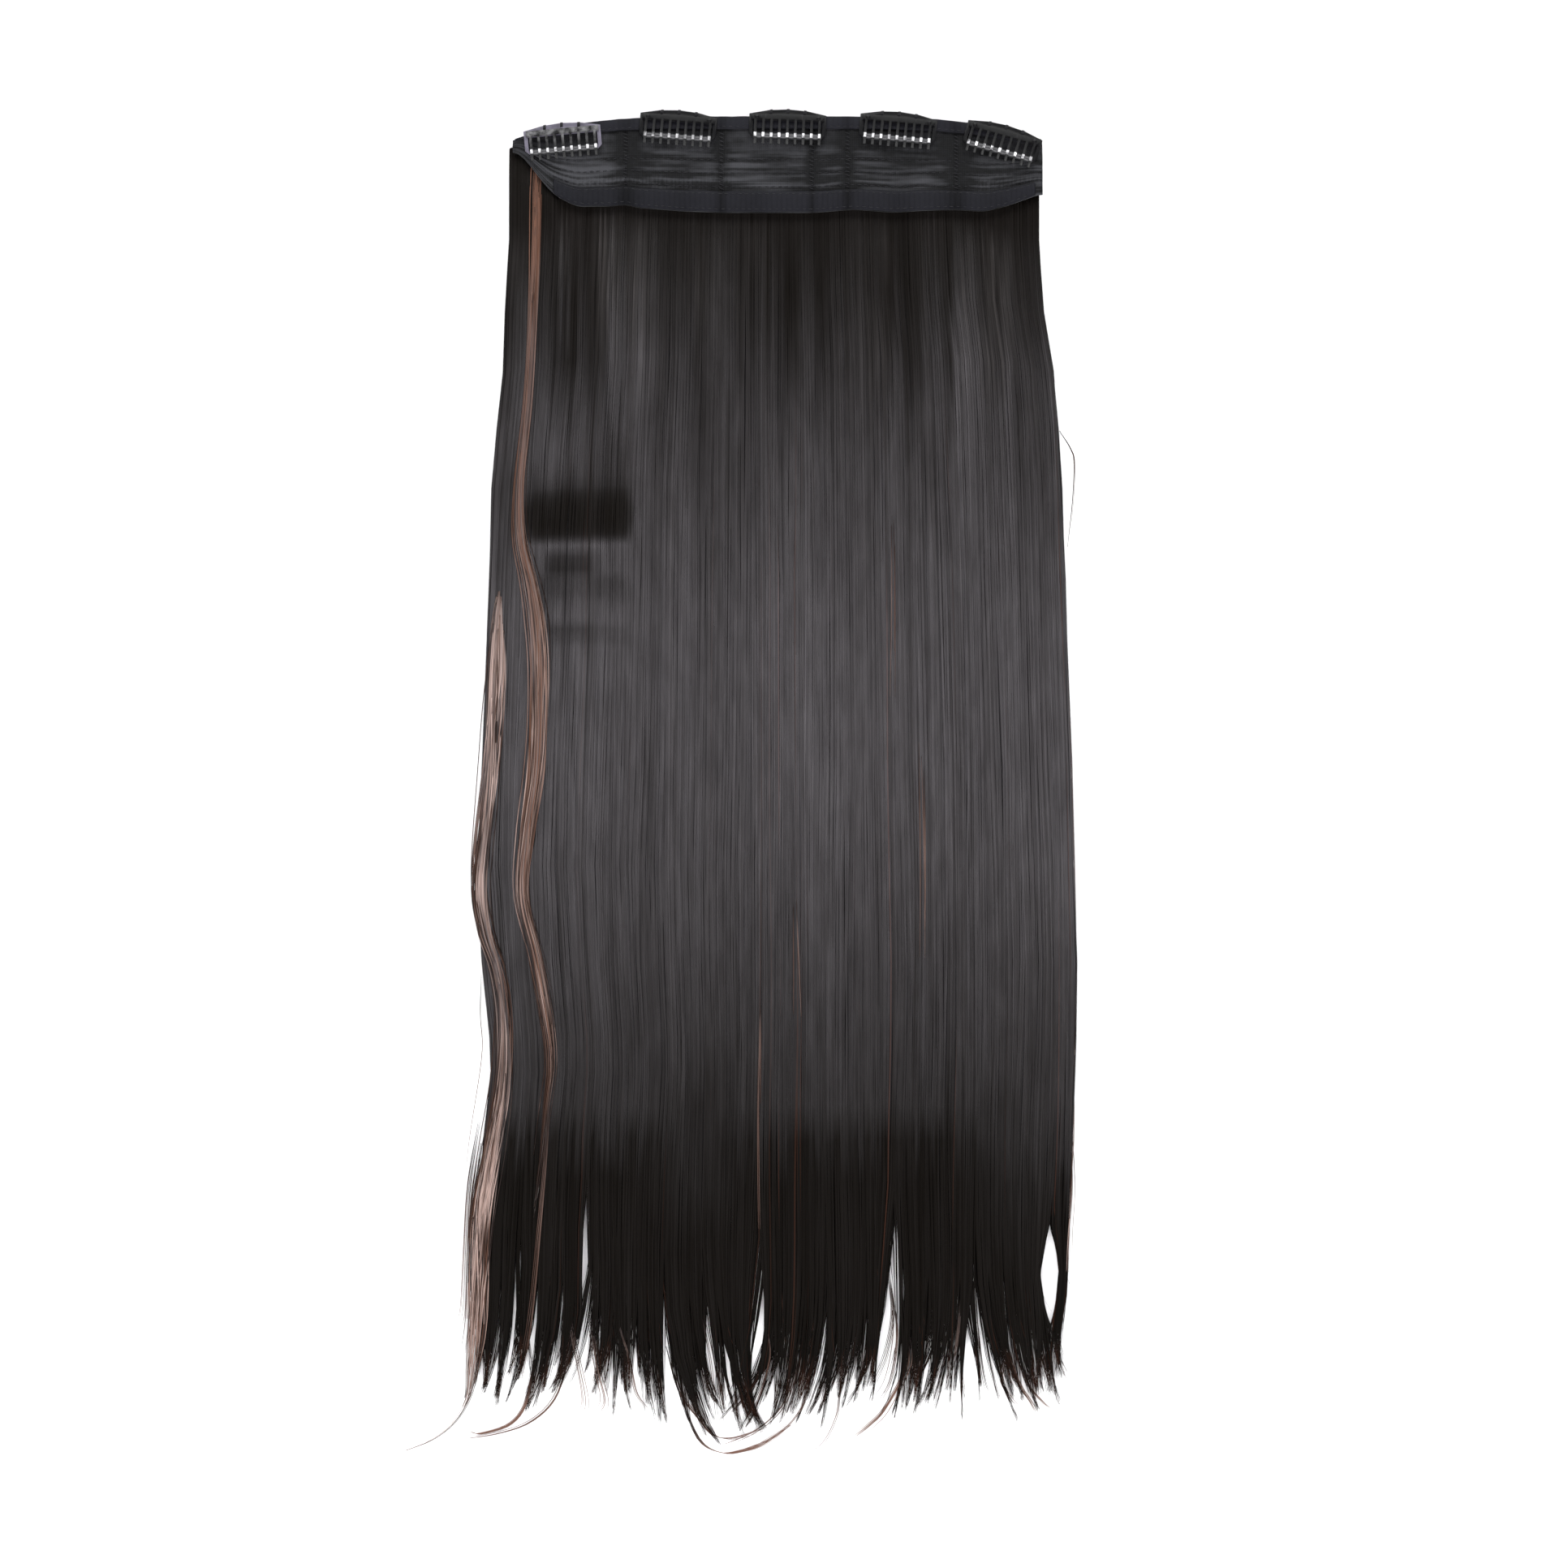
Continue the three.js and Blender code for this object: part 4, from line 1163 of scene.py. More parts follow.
@dataclass
class Ribbon:
    """A woven ribbon sewn along the band."""

    name: str
    first: float
    last: float
    low: float
    thickness: float
    left: float
    right: float
    seed: int
    pucker: float = 0.12
    columns: int = 420
    tone: float = 0.45
    seam_dark: float = 0.0

    def build(self) -> bpy.types.Object:
        """Makes the ribbon.

        Returns:
            A closed strip with rounded edges.
        """
        across = np.linspace(self.left, self.right, self.columns)
        angle = np.linspace(0, 2 * math.pi, 28, endpoint=False)
        # A flat oval: nearly a rectangle, with rounded edges
        reach = np.sign(np.cos(angle)) * np.abs(np.cos(angle)) ** 0.28
        rise = np.sign(np.sin(angle)) * np.abs(np.sin(angle)) ** 0.75
        drift = Drift(self.seed)
        middle = (self.first + self.last) / 2
        half = (self.last - self.first) / 2
        down = middle + half * reach[None, :] + 0.14 * drift.at(across[:, None] * 30 + 9, reach * 0 + 1)
        bump = self.pucker * drift.at(across[:, None] * 34, down / 3.4 + 4) * (rise[None, :] > 0)
        height = self.low + self.thickness * (0.5 + 0.5 * rise[None, :]) + bump
        rings = BAND.point(across[:, None], down, height)
        tone = self.tone + 0.15 * drift.at(across * 11 + 3, across * 0)
        # Painted shade in the folds at the seams
        for seam, half in zip(PANEL_SEAMS, SEAM_SHADE):
            tone = tone - self.seam_dark * hill(seam, 0.6 * half, across)
        skin = Skin()
        loft(skin, rings[None], tone=tone[None])
        return skin.make(self.name)


# Thickness of a stitch along its length, as shares of its radius
STITCH = np.array([0.35, 0.9, 1.0, 0.9, 0.35])


@dataclass
class Stitches:
    """Rows of sewing thread on the band, and slanting stitches across its seams."""

    pitch: float = 3.1
    length: float = 2.1
    radius: float = 0.17
    seed: int = 31

    def build(self) -> bpy.types.Object:
        """Makes the rows of stitches as one mesh.

        Returns:
            The mesh object.
        """
        skin = Skin()
        for down, height, left, right in (
            (4.9, 2.28, -0.97, 0.98),
            (TRACKS[0] + 1.2, 1.02, -0.9, 0.97),
            (TRACKS[1] + 1.2, 1.02, -0.86, 0.96),
            (TRACKS[2] + 1.2, 1.02, -0.85, 0.95),
            (37.3, 2.22, -0.83, 0.96),
            (44.7, 2.2, -0.82, 0.95),
        ):
            self._line(skin, down, height, left, right)
        for seam in PANEL_SEAMS:
            self._cross(skin, seam)
        return skin.make("band_stitches")

    def _line(self, skin: Skin, down: float, height: float, left: float, right: float) -> None:
        """Adds one row along the band."""
        count = int((right - left) * BAND.half / self.pitch)
        rng = np.random.default_rng(self.seed + int(down))
        start = left + (right - left) * np.arange(count) / count
        start = start + rng.uniform(-0.15, 0.15, count) / BAND.half
        across = start[:, None] + np.linspace(0, self.length, len(STITCH))[None] / BAND.half
        lean = rng.normal(0, 0.12, count)[:, None] * np.linspace(-1, 1, len(STITCH))
        bow = 0.1 * np.sin(np.linspace(0, math.pi, len(STITCH)))[None]
        self._beads(skin, BAND.point(across, down + lean, height + bow - 0.1))

    def _cross(self, skin: Skin, seam: float) -> None:
        """Adds slanting stitches across a seam."""
        down = np.arange(8.0, 35.0, 1.9)[:, None] + np.linspace(-0.45, 0.45, len(STITCH))[None]
        side = np.linspace(-1.15, 1.15, len(STITCH))[None] / BAND.half
        self._beads(skin, BAND.point(seam + side + 0 * down, down, np.full_like(down, 1.12)))

    def _beads(self, skin: Skin, path: np.ndarray) -> None:
        """Adds thread along short paths."""
        thread_tubes(skin, path, self.radius * STITCH)


def thread_tubes(skin: Skin, path: np.ndarray, radius: np.ndarray, sides: int = 6) -> None:
    """Adds round closed tubes.

    Args:
        skin: Mesh that takes them.
        path: Middles, as tubes by rings by xyz.
        radius: Radius of each ring.
        sides: Corners of a ring.
    """
    along = np.gradient(path, axis=1)
    along /= np.linalg.norm(along, axis=2, keepdims=True) + TINY
    helper = np.where(np.abs(along[..., 2:3]) > 0.9, [1.0, 0.0, 0.0], [0.0, 0.0, 1.0])
    side = np.cross(along, helper)
    side /= np.linalg.norm(side, axis=2, keepdims=True) + TINY
    up = np.cross(side, along)
    angle = -np.linspace(0, 2 * math.pi, sides, endpoint=False)
    ring = side[:, :, None] * np.cos(angle)[:, None] + up[:, :, None] * np.sin(angle)[:, None]
    rings = path[:, :, None] + ring * np.broadcast_to(radius, path.shape[:2])[..., None, None]
    loft(skin, rings, tone=np.full(path.shape[:2], 0.5))


class Coat(Enum):
    """Lacquer of a clip's frame: plain black, or black with a painted lavender-grey reflection."""

    BLACK = 0.0
    PAINTED_REFLECTION = 1.0


@dataclass
class SnapClip:
    """One snap comb clip: lacquered frame, silicone sleeve, comb and its sewing thread."""

    number: int
    across: float
    turn: float
    proud: float
    coat: Coat
    wear_and_sheen_gain: float
    length: float = 36.0
    plate_seat: float = 2.6
    steel: float = 0.7
    cap_proud: float = 3.0
    cap_rise: float = 2.5
    bar_down: float = 12.9
    arm: float = 1.8
    sleeve_radius: float = 1.4
    hole_inset: float = 1.4
    hole_spacing: float = 8.0
    flat_angle: float = math.radians(2)
    bevel_angle: float = math.radians(28)
    smooth_angle: float = math.radians(32)

    def place(self, x: np.ndarray, y: np.ndarray, height: np.ndarray) -> np.ndarray:
        """Takes places on the clip to places over the table.

        Args:
            x: Along the clip.
            y: Towards the top edge, 0 at the top of the cap.
            height: Off the clip's underside.

        Returns:
            Places as x, y, z.
        """
        angle = math.radians(self.turn)
        edge = -BAND.arch_drop * abs(self.across) ** 4
        turned_x = x * math.cos(angle) - y * math.sin(angle)
        turned_y = x * math.sin(angle) + y * math.cos(angle)
        return BAND.place(
            BAND.half * self.across + turned_x,
            edge + self.proud * self.cap_proud + turned_y,
            self.plate_seat + height,
        )

    def build(self, finishes: "Finishes") -> None:
        """Makes and dresses the clip's pieces.

        Args:
            finishes: Materials to wear.
        """
        frame_piece = self._bevelled(f"clip_frame_{self.number}", "lacquered_frame", 0.16)
        # The frame of a clip with the painted-reflection coat gets a painted lavender-grey reflection
        give_value(frame_piece, "painted_reflection", self.coat.value)
        give_value(frame_piece, "wear_and_sheen_gain", 1.0)
        dress(frame_piece, finishes.lacquer, ROOT, [f"clip_frame_{self.number}"])
        sleeve = self._sleeve()
        dress(sleeve, finishes.silicone, ROOT, [f"clip_sleeve_{self.number}"])
        comb = self._bevelled(f"clip_comb_{self.number}", "toothed_comb", 0.1)
        self._mark_bends_and_spine(comb)
        give_value(comb, "wear_and_sheen_gain", self.wear_and_sheen_gain)
        body = f"comb_{self.number}"
        dress(comb, finishes.comb, body, [f"clip_comb_{self.number}"])
        thread = self._thread()
        dress(thread, finishes.thread, ROOT, [])

    def _bevelled(self, node: str, name: str, amount: float) -> bpy.types.Object:
        """Copies a solid of the frame with its edges rounded.

        Args:
            node: Node of the frame.
            name: Name of the new piece, before its number.
            amount: Width of the rounding in millimetres.

        Returns:
            The new piece.
        """
        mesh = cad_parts[node].data.copy()
        shape = bmesh.new()
        shape.from_mesh(mesh)
        bmesh.ops.remove_doubles(shape, verts=shape.verts, dist=1e-6)
        bmesh.ops.dissolve_limit(
            shape, angle_limit=self.flat_angle, verts=shape.verts, edges=shape.edges
        )
        joined = [edge for edge in shape.edges if len(edge.link_faces) == 2]
        bmesh.ops.bevel(
            shape,
            geom=[edge for edge in joined if edge.calc_face_angle() > self.bevel_angle],
            offset=amount * MM,
            segments=2,
            profile=0.6,
            affect="EDGES",
            clamp_overlap=True,
        )
        bmesh.ops.triangulate(shape, faces=[f for f in shape.faces if len(f.verts) > 4])
        shape.to_mesh(mesh)
        shape.free()
        mesh.materials.clear()
        mesh.shade_smooth()
        mesh.set_sharp_from_angle(angle=self.smooth_angle)
        return link(f"{name}_{self.number}", mesh)

    def _mark_bends_and_spine(self, comb: bpy.types.Object) -> None:
        """Stores how far each point lies past the bar, and where the back of the comb gets a painted
        highlight.
        """
        points = np.zeros(len(comb.data.vertices) * 3, np.float32)
        comb.data.vertices.foreach_get("co", points)
        points = points.reshape(-1, 3)
        middle = to_frame(self.place(0.0, -self.bar_down, 0.0))
        down = to_frame(self.place(0.0, -self.bar_down - 1.0, 0.0)) - middle
        down /= np.linalg.norm(down)
        past = (points - middle) @ down / MM
        # Painted highlight on the back of the comb, on the clip whose coat has the painted reflection
        painted_spine_highlight = 0.5 * self.coat.value * smooth_step(-6.0, -7.5, past)
        store(comb.data, "past_bar", past)
        store(comb.data, "painted_spine_highlight", painted_spine_highlight)

    def _sleeve(self) -> bpy.types.Object:
        """Makes the silicone tube on the bar, with rounded ends and small ribs."""
        half = self.length / 2 - self.arm - 0.3
        middle = np.linspace(-half + 0.6, half - 0.6, 120)
        x = np.concatenate([[-half, -half + 0.06, -half + 0.3], middle, [half - 0.3, half - 0.06, half]])
        radius = np.full_like(x, self.sleeve_radius)
        radius[[0, -1]] *= 0.86
        radius[[1, -2]] *= 0.95
        radius = radius - 0.04 * (0.5 + 0.5 * np.cos(x * 9))
        angle = np.linspace(0, 2 * math.pi, 20, endpoint=False)[None, :]
        y = -self.bar_down + radius[:, None] * np.cos(angle)
        height = self.steel / 2 + radius[:, None] * np.sin(angle)
        skin = Skin()
        loft(skin, self.place(x[:, None] + 0 * y, y, height)[None], tone=np.full((1, len(x)), 0.5))
        return skin.make(f"silicone_sleeve_{self.number}")

    def _thread(self) -> bpy.types.Object:
        """Makes the loops of thread through the three sewing holes."""
        skin = Skin()
        angle = np.linspace(-0.15 * math.pi, 1.15 * math.pi, 13)
        for side in (-1, 0, 1):
            for shift in (-0.46, -0.15, 0.15, 0.46):
                middle = side * self.hole_spacing + shift
                edge = -self.cap_rise * (middle / (self.length / 2)) ** 2
                reach = self.hole_inset / 2 + 0.42
                y = edge - self.hole_inset / 2 - 0.28 + reach * np.cos(angle)
                height = self.steel / 2 + 0.62 * np.sin(angle)
                x = np.full_like(y, middle) + 0.12 * np.cos(angle)
                thread_tubes(skin, self.place(x, y, height)[None], np.full_like(angle, 0.19))
        return skin.make(f"clip_thread_{self.number}")


# Clips from left to right: across, turn in degrees, how proud of the edge, coat, brightness of the bends.
# The first clip's coat puts a painted reflection on its frame and a painted highlight on the back of its
# comb; the bright bends are partly worn steel and partly a painted glint.
CLIPS = (
    (-0.815, 5.5, 0.5, Coat.PAINTED_REFLECTION, 1.0),
    (-0.37, -4.5, 0.93, Coat.BLACK, 0.55),
    (0.04, -2.0, 1.0, Coat.BLACK, 1.25),
    (0.46, -5.5, 0.77, Coat.BLACK, 1.0),
    (0.865, -16.0, 0.57, Coat.BLACK, 1.0),
)


def give_value(piece: bpy.types.Object, name: str, value: float) -> None:
    """Stores one number on every point of a piece."""
    store(piece.data, name, np.full(len(piece.data.vertices), value))


def dress(
    piece: bpy.types.Object, material: bpy.types.Material, body: str, nodes: list[str]
) -> None:
    """Gives a piece its material, body, slot and the nodes that it stands for.

    Args:
        piece: The piece.
        material: Its material.
        body: Body of the frame that it moves with.
        nodes: Nodes of the frame that it replaces.
    """
    piece.data.materials.append(material)
    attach(piece, body)
    if nodes:
        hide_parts(*nodes)
    LOG.info("%s: %d faces, rides on %s", piece.name, len(piece.data.polygons), body)


Socket = bpy.types.NodeSocket
Linkable = Socket | float | tuple[float, ...]


class Graph:
    """A node tree with short ways to add nodes and links."""

    def __init__(self, tree: bpy.types.NodeTree) -> None:
        """Keeps the tree."""
        self.tree = tree

    def add(self, kind: str, **settings: str | float | bool | bpy.types.NodeTree) -> bpy.types.Node:
        """Adds a node and sets its options."""
        node = self.tree.nodes.new(kind)
        for name, value in settings.items():
            setattr(node, name, value)
        return node

    def feed(self, target: Socket, source: Linkable) -> None:
        """Links a socket to an input, or sets the input's value."""
        if isinstance(source, bpy.types.NodeSocket):
            self.tree.links.new(source, target)
        else:
            target.default_value = source

    def give(self, node: bpy.types.Node, inputs: dict[str, Linkable]) -> None:
        """Feeds several inputs of a node, by name."""
        for name, source in inputs.items():
            self.feed(node.inputs[name], source)

    def noise(self, scale: Linkable, detail: float, vector: Socket) -> Socket:
        """Adds a noise texture and returns its value."""
        node = self.add("ShaderNodeTexNoise")
        self.give(node, {"Scale": scale, "Detail": detail, "Vector": vector})
        return node.outputs[0]

    def bump(self, height: Socket, strength: float, distance: float) -> Socket:
        """Adds fine relief and returns its normal."""
        node = self.add("ShaderNodeBump")
        self.give(node, {"Strength": strength, "Distance": distance, "Height": height})
        return node.outputs[0]

    def maths(
        self, operation: str, first: Linkable, second: Linkable = 0.0, clamp: bool = False
    ) -> Socket:
        """Adds a calculation and returns its result."""
        node = self.add("ShaderNodeMath", operation=operation, use_clamp=clamp)
        self.feed(node.inputs[0], first)
        self.feed(node.inputs[1], second)
        return node.outputs[0]

    def blend(self, share: Linkable, first: Linkable, second: Linkable) -> Socket:
        """Adds a mix of two colours and returns it."""
        node = self.add("ShaderNodeMix", data_type="RGBA")
        self.feed(node.inputs[0], share)
        self.feed(node.inputs[6], first)
        self.feed(node.inputs[7], second)
        return node.outputs[2]

    def spread(self, value: Socket, low: float, high: float) -> Socket:
        """Takes a value from 0 to 1 to the range from low to high."""
        node = self.add("ShaderNodeMapRange")
        self.give(node, {"Value": value, "To Min": low, "To Max": high})
        return node.outputs["Result"]

    def step(self, value: Socket, middle: float, width: float) -> Socket:
        """Goes from 0 to 1 round a middle, upwards where the width is above 0 and else downwards."""
        ends = (0.0, 1.0) if width > 0 else (1.0, 0.0)
        return self.ramp(value, middle - abs(width) / 2, middle + abs(width) / 2, *ends)

    def ramp(self, value: Socket, start: float, end: float, low: float, high: float) -> Socket:
        """Goes smoothly from low, where the value is at start, to high, where it is at end."""
        node = self.add("ShaderNodeMapRange", interpolation_type="SMOOTHSTEP")
        self.give(node, {"Value": value, "From Min": start, "From Max": end})
        self.give(node, {"To Min": low, "To Max": high})
        return node.outputs["Result"]

    def value(self, name: str) -> Socket:
        """Reads a number stored on the mesh."""
        return self.add("ShaderNodeAttribute", attribute_name=name).outputs["Fac"]

    def place(self) -> Socket:
        """Place on the object, in the frame's metres."""
        return self.add("ShaderNodeTexCoord").outputs["Object"]


def new_group(name: str, inputs: dict[str, float], outputs: tuple[str, ...]) -> bpy.types.NodeTree:
    """Starts a node group with plain number sockets.

    Args:
        name: Name of the group.
        inputs: Its inputs with their usual values.
        outputs: Its outputs.

    Returns:
        The group, with its Group Input and Group Output nodes.
    """
    tree = bpy.data.node_groups.new(name, "ShaderNodeTree")
    for key, value in inputs.items():
        socket = tree.interface.new_socket(name=key, in_out="INPUT", socket_type="NodeSocketFloat")
        socket.default_value = value
    for key in outputs:
        tree.interface.new_socket(name=key, in_out="OUTPUT", socket_type="NodeSocketFloat")
    tree.nodes.new("NodeGroupInput").name = "in"
    tree.nodes.new("NodeGroupOutput").name = "out"
    return tree


def fibre_grain() -> bpy.types.NodeTree:
    """Fine lines along the hair, with slow changes of tone along them."""
    tree = new_group("fibre_grain", {"Across": 2600.0, "Along": 22.0}, ("Grain", "Patch"))
    graph = Graph(tree)
    given, result = tree.nodes["in"].outputs, tree.nodes["out"].inputs
    for key, across, along in (("Grain", 1.0, 1.0), ("Patch", 0.085, 2.0)):
        fine = graph.maths("MULTIPLY", given["Across"], across)
        scale = graph.add("ShaderNodeCombineXYZ")
        graph.give(scale, {"X": fine, "Y": graph.maths("MULTIPLY", given["Along"], along), "Z": fine})
        stretched = graph.add("ShaderNodeVectorMath", operation="MULTIPLY")
        graph.feed(stretched.inputs[0], graph.place())
        graph.feed(stretched.inputs[1], scale.outputs[0])
        graph.feed(result[key], graph.noise(1.0, 3.0, stretched.outputs[0]))
    return tree


def cloth_weave() -> bpy.types.NodeTree:
    """Crossing threads of a woven cloth, with slubs."""
    tree = new_group("cloth_weave", {"Warp": 1500.0, "Weft": 1500.0}, ("Height", "Slub"))
    graph = Graph(tree)
    given, result = tree.nodes["in"].outputs, tree.nodes["out"].inputs
    parts = graph.add("ShaderNodeSeparateXYZ")
    graph.feed(parts.inputs[0], graph.place())
    waves = []
    for axis, key in ((0, "Warp"), (1, "Weft")):
        turned = graph.maths("MULTIPLY", parts.outputs[axis], given[key])
        wave = graph.maths("SINE", graph.maths("MULTIPLY", turned, math.pi))
        waves.append(graph.maths("ABSOLUTE", wave))
    slub = graph.noise(420.0, 4.0, graph.place())
    crossed = graph.maths("MULTIPLY", *waves)
    graph.feed(result["Height"], graph.maths("ADD", crossed, graph.maths("MULTIPLY", slub, 0.5)))
    graph.feed(result["Slub"], slub)
    return tree


def fine_scratches() -> bpy.types.NodeTree:
    """Patches and fine scratches of handled metal."""
    tree = new_group("fine_scratches", {"Scale": 900.0}, ("Scratch", "Patch"))
    graph = Graph(tree)
    given, result = tree.nodes["in"].outputs, tree.nodes["out"].inputs
    slanted = graph.add("ShaderNodeMapping")
    turn, stretch = (0.0, 0.0, 0.6), (7.0, 0.5, 1.0)
    graph.give(slanted, {"Rotation": turn, "Scale": stretch, "Vector": graph.place()})
    lines = graph.noise(given["Scale"], 2.0, slanted.outputs[0])
    graph.feed(result["Scratch"], graph.step(lines, 0.7, 0.06))
    graph.feed(result["Patch"], graph.noise(given["Scale"], 5.0, graph.place()))
    return tree


@dataclass(frozen=True)
class HairFinish:
    """Smooth synthetic hair."""

    name: str
    dark: Colour
    pale: Colour
    warm: Colour
    sheen_roughness: float
    uneven: float

    def make(self, grain: bpy.types.NodeTree) -> bpy.types.Material:
        """Makes the material.

        Args:
            grain: The group of fine lines along the hair.

        Returns:
            The material.
        """
        material, graph, shader = new_material(self.name)
        lines = graph.add("ShaderNodeGroup", node_tree=grain)
        fine, patch = lines.outputs["Grain"], lines.outputs["Patch"]
        tone = graph.maths("ADD", graph.value("tone"), graph.spread(patch, -self.uneven, self.uneven))
        tone = graph.maths("ADD", tone, graph.spread(fine, -self.uneven, self.uneven), clamp=True)
        colour = graph.blend(tone, self.dark, self.pale)
        # The coat's weight carries the strands' shine with its painted shade
        sheen = graph.maths("MULTIPLY", graph.value("gloss"), graph.spread(fine, 0.75, 1.25))
        sheen = graph.maths("MULTIPLY", sheen, graph.spread(patch, 0.55, 1.45))
        graph.give(
            shader,
            {
                "Base Color": graph.blend(graph.value("warm"), colour, self.warm),
                "Roughness": 0.7,
                "Specular IOR Level": 0.05,
                "Coat IOR": 1.6,
                "Coat Roughness": self.sheen_roughness,
                "Coat Weight": sheen,
                "Normal": graph.bump(fine, 0.25, 0.00005),
            },
        )
        return material


@dataclass(frozen=True)
class ClothFinish:
    """Woven cloth: lace, ribbon or thread."""

    name: str
    dark: Colour
    pale: Colour
    warp: float
    weft: float
    roughness: tuple[float, float]
    bump: float
    sheen: float
    specular: float = 0.2

    def make(self, weave: bpy.types.NodeTree) -> bpy.types.Material:
        """Makes the material.

        Args:
            weave: The group of crossing threads.

        Returns:
            The material.
        """
        material, graph, shader = new_material(self.name)
        threads = graph.add("ShaderNodeGroup", node_tree=weave)
        graph.give(threads, {"Warp": self.warp, "Weft": self.weft})
        height, slub = threads.outputs["Height"], threads.outputs["Slub"]
        tone = graph.maths("ADD", graph.value("tone"), graph.spread(height, -0.15, 0.15))
        tone = graph.maths("ADD", tone, graph.spread(slub, -0.18, 0.18), clamp=True)
        graph.give(
            shader,
            {
                "Base Color": graph.blend(tone, self.dark, self.pale),
                "Roughness": graph.spread(slub, *self.roughness),
                "Specular IOR Level": self.specular,
                "Sheen Weight": self.sheen,
                "Sheen Roughness": 0.4,
                "Normal": graph.bump(height, self.bump, 0.00012),
            },
        )
        return material


@dataclass(frozen=True)
class MetalFinish:
    """Black lacquer on sheet steel, bare over a stretch of a stored value, as wear and painted light."""

    name: str
    wear_and_sheen_by: str
    wear_and_sheen_span: tuple[float, float]
    coat: Colour
    bare: Colour
    bare_metal: float
    scale: float
    patchy: tuple[float, float]

    def make(self, scratches: bpy.types.NodeTree) -> bpy.types.Material:
        """Makes the material.

        Args:
            scratches: The group of patches and scratches.

        Returns:
            The material.
        """
        material, graph, shader = new_material(self.name)
        marks = graph.add("ShaderNodeGroup", node_tree=scratches)
        graph.give(marks, {"Scale": self.scale})
        patch = marks.outputs["Patch"]
        rise, fall = self.wear_and_sheen_span
        # The bare stretch is a painted reflection on a frame, and at a comb's bends worn steel that also
        # stands in for their glint
        past = graph.value(self.wear_and_sheen_by)
        mask = graph.maths("MULTIPLY", graph.step(past, rise, 0.5), graph.step(past, fall, -0.5))
        mask = graph.maths("MULTIPLY", mask, graph.spread(patch, *self.patchy))
        # Painted highlight on the back of the first clip's comb
        painted_spine_highlight = graph.maths("MULTIPLY", graph.value("painted_spine_highlight"), graph.spread(patch, -0.35, 0.6))
        mask = graph.maths("MULTIPLY", mask, graph.value("wear_and_sheen_gain"))
        mask = graph.maths("MAXIMUM", mask, painted_spine_highlight)
        scratch = graph.maths("MULTIPLY", marks.outputs["Scratch"], 0.02)
        mask = graph.maths("ADD", mask, scratch, clamp=True)
        graph.give(
            shader,
            {
                "Base Color": graph.blend(mask, self.coat, self.bare),
                "Metallic": graph.maths("MULTIPLY", mask, self.bare_metal),
                "Roughness": graph.spread(patch, 0.25, 0.5),
                "Specular IOR Level": 0.16,
                "Normal": graph.bump(patch, 0.12, 0.00003),
            },
        )
        return material


@dataclass(frozen=True)
class SiliconeFinish:
    """Dark smoky silicone with a soft gloss and dust."""

    name: str = "dark_silicone"
    clean: Colour = (0.016, 0.016, 0.018, 1)
    dusty: Colour = (0.07, 0.07, 0.075, 1)

    def make(self, scratches: bpy.types.NodeTree) -> bpy.types.Material:
        """Makes the material.

        Args:
            scratches: The group of patches and scratches.

        Returns:
            The material.
        """
        material, graph, shader = new_material(self.name)
        marks = graph.add("ShaderNodeGroup", node_tree=scratches)
        graph.give(marks, {"Scale": 700.0})
        dust = graph.spread(marks.outputs["Patch"], -0.35, 0.75)
        graph.feed(shader.inputs["Base Color"], graph.blend(dust, self.clean, self.dusty))
        graph.feed(shader.inputs["Roughness"], graph.spread(marks.outputs["Patch"], 0.3, 0.55))
        return material


def new_material(name: str) -> tuple[bpy.types.Material, Graph, bpy.types.Node]:
    """Starts a material.

    Args:
        name: Name of the material.

    Returns:
        The material, its graph and its Principled shader.
    """
    material = bpy.data.materials.new(name)
    material.use_nodes = True
    tree = material.node_tree
    shader = next(n for n in tree.nodes if n.type == "BSDF_PRINCIPLED")
    return material, Graph(tree), shader


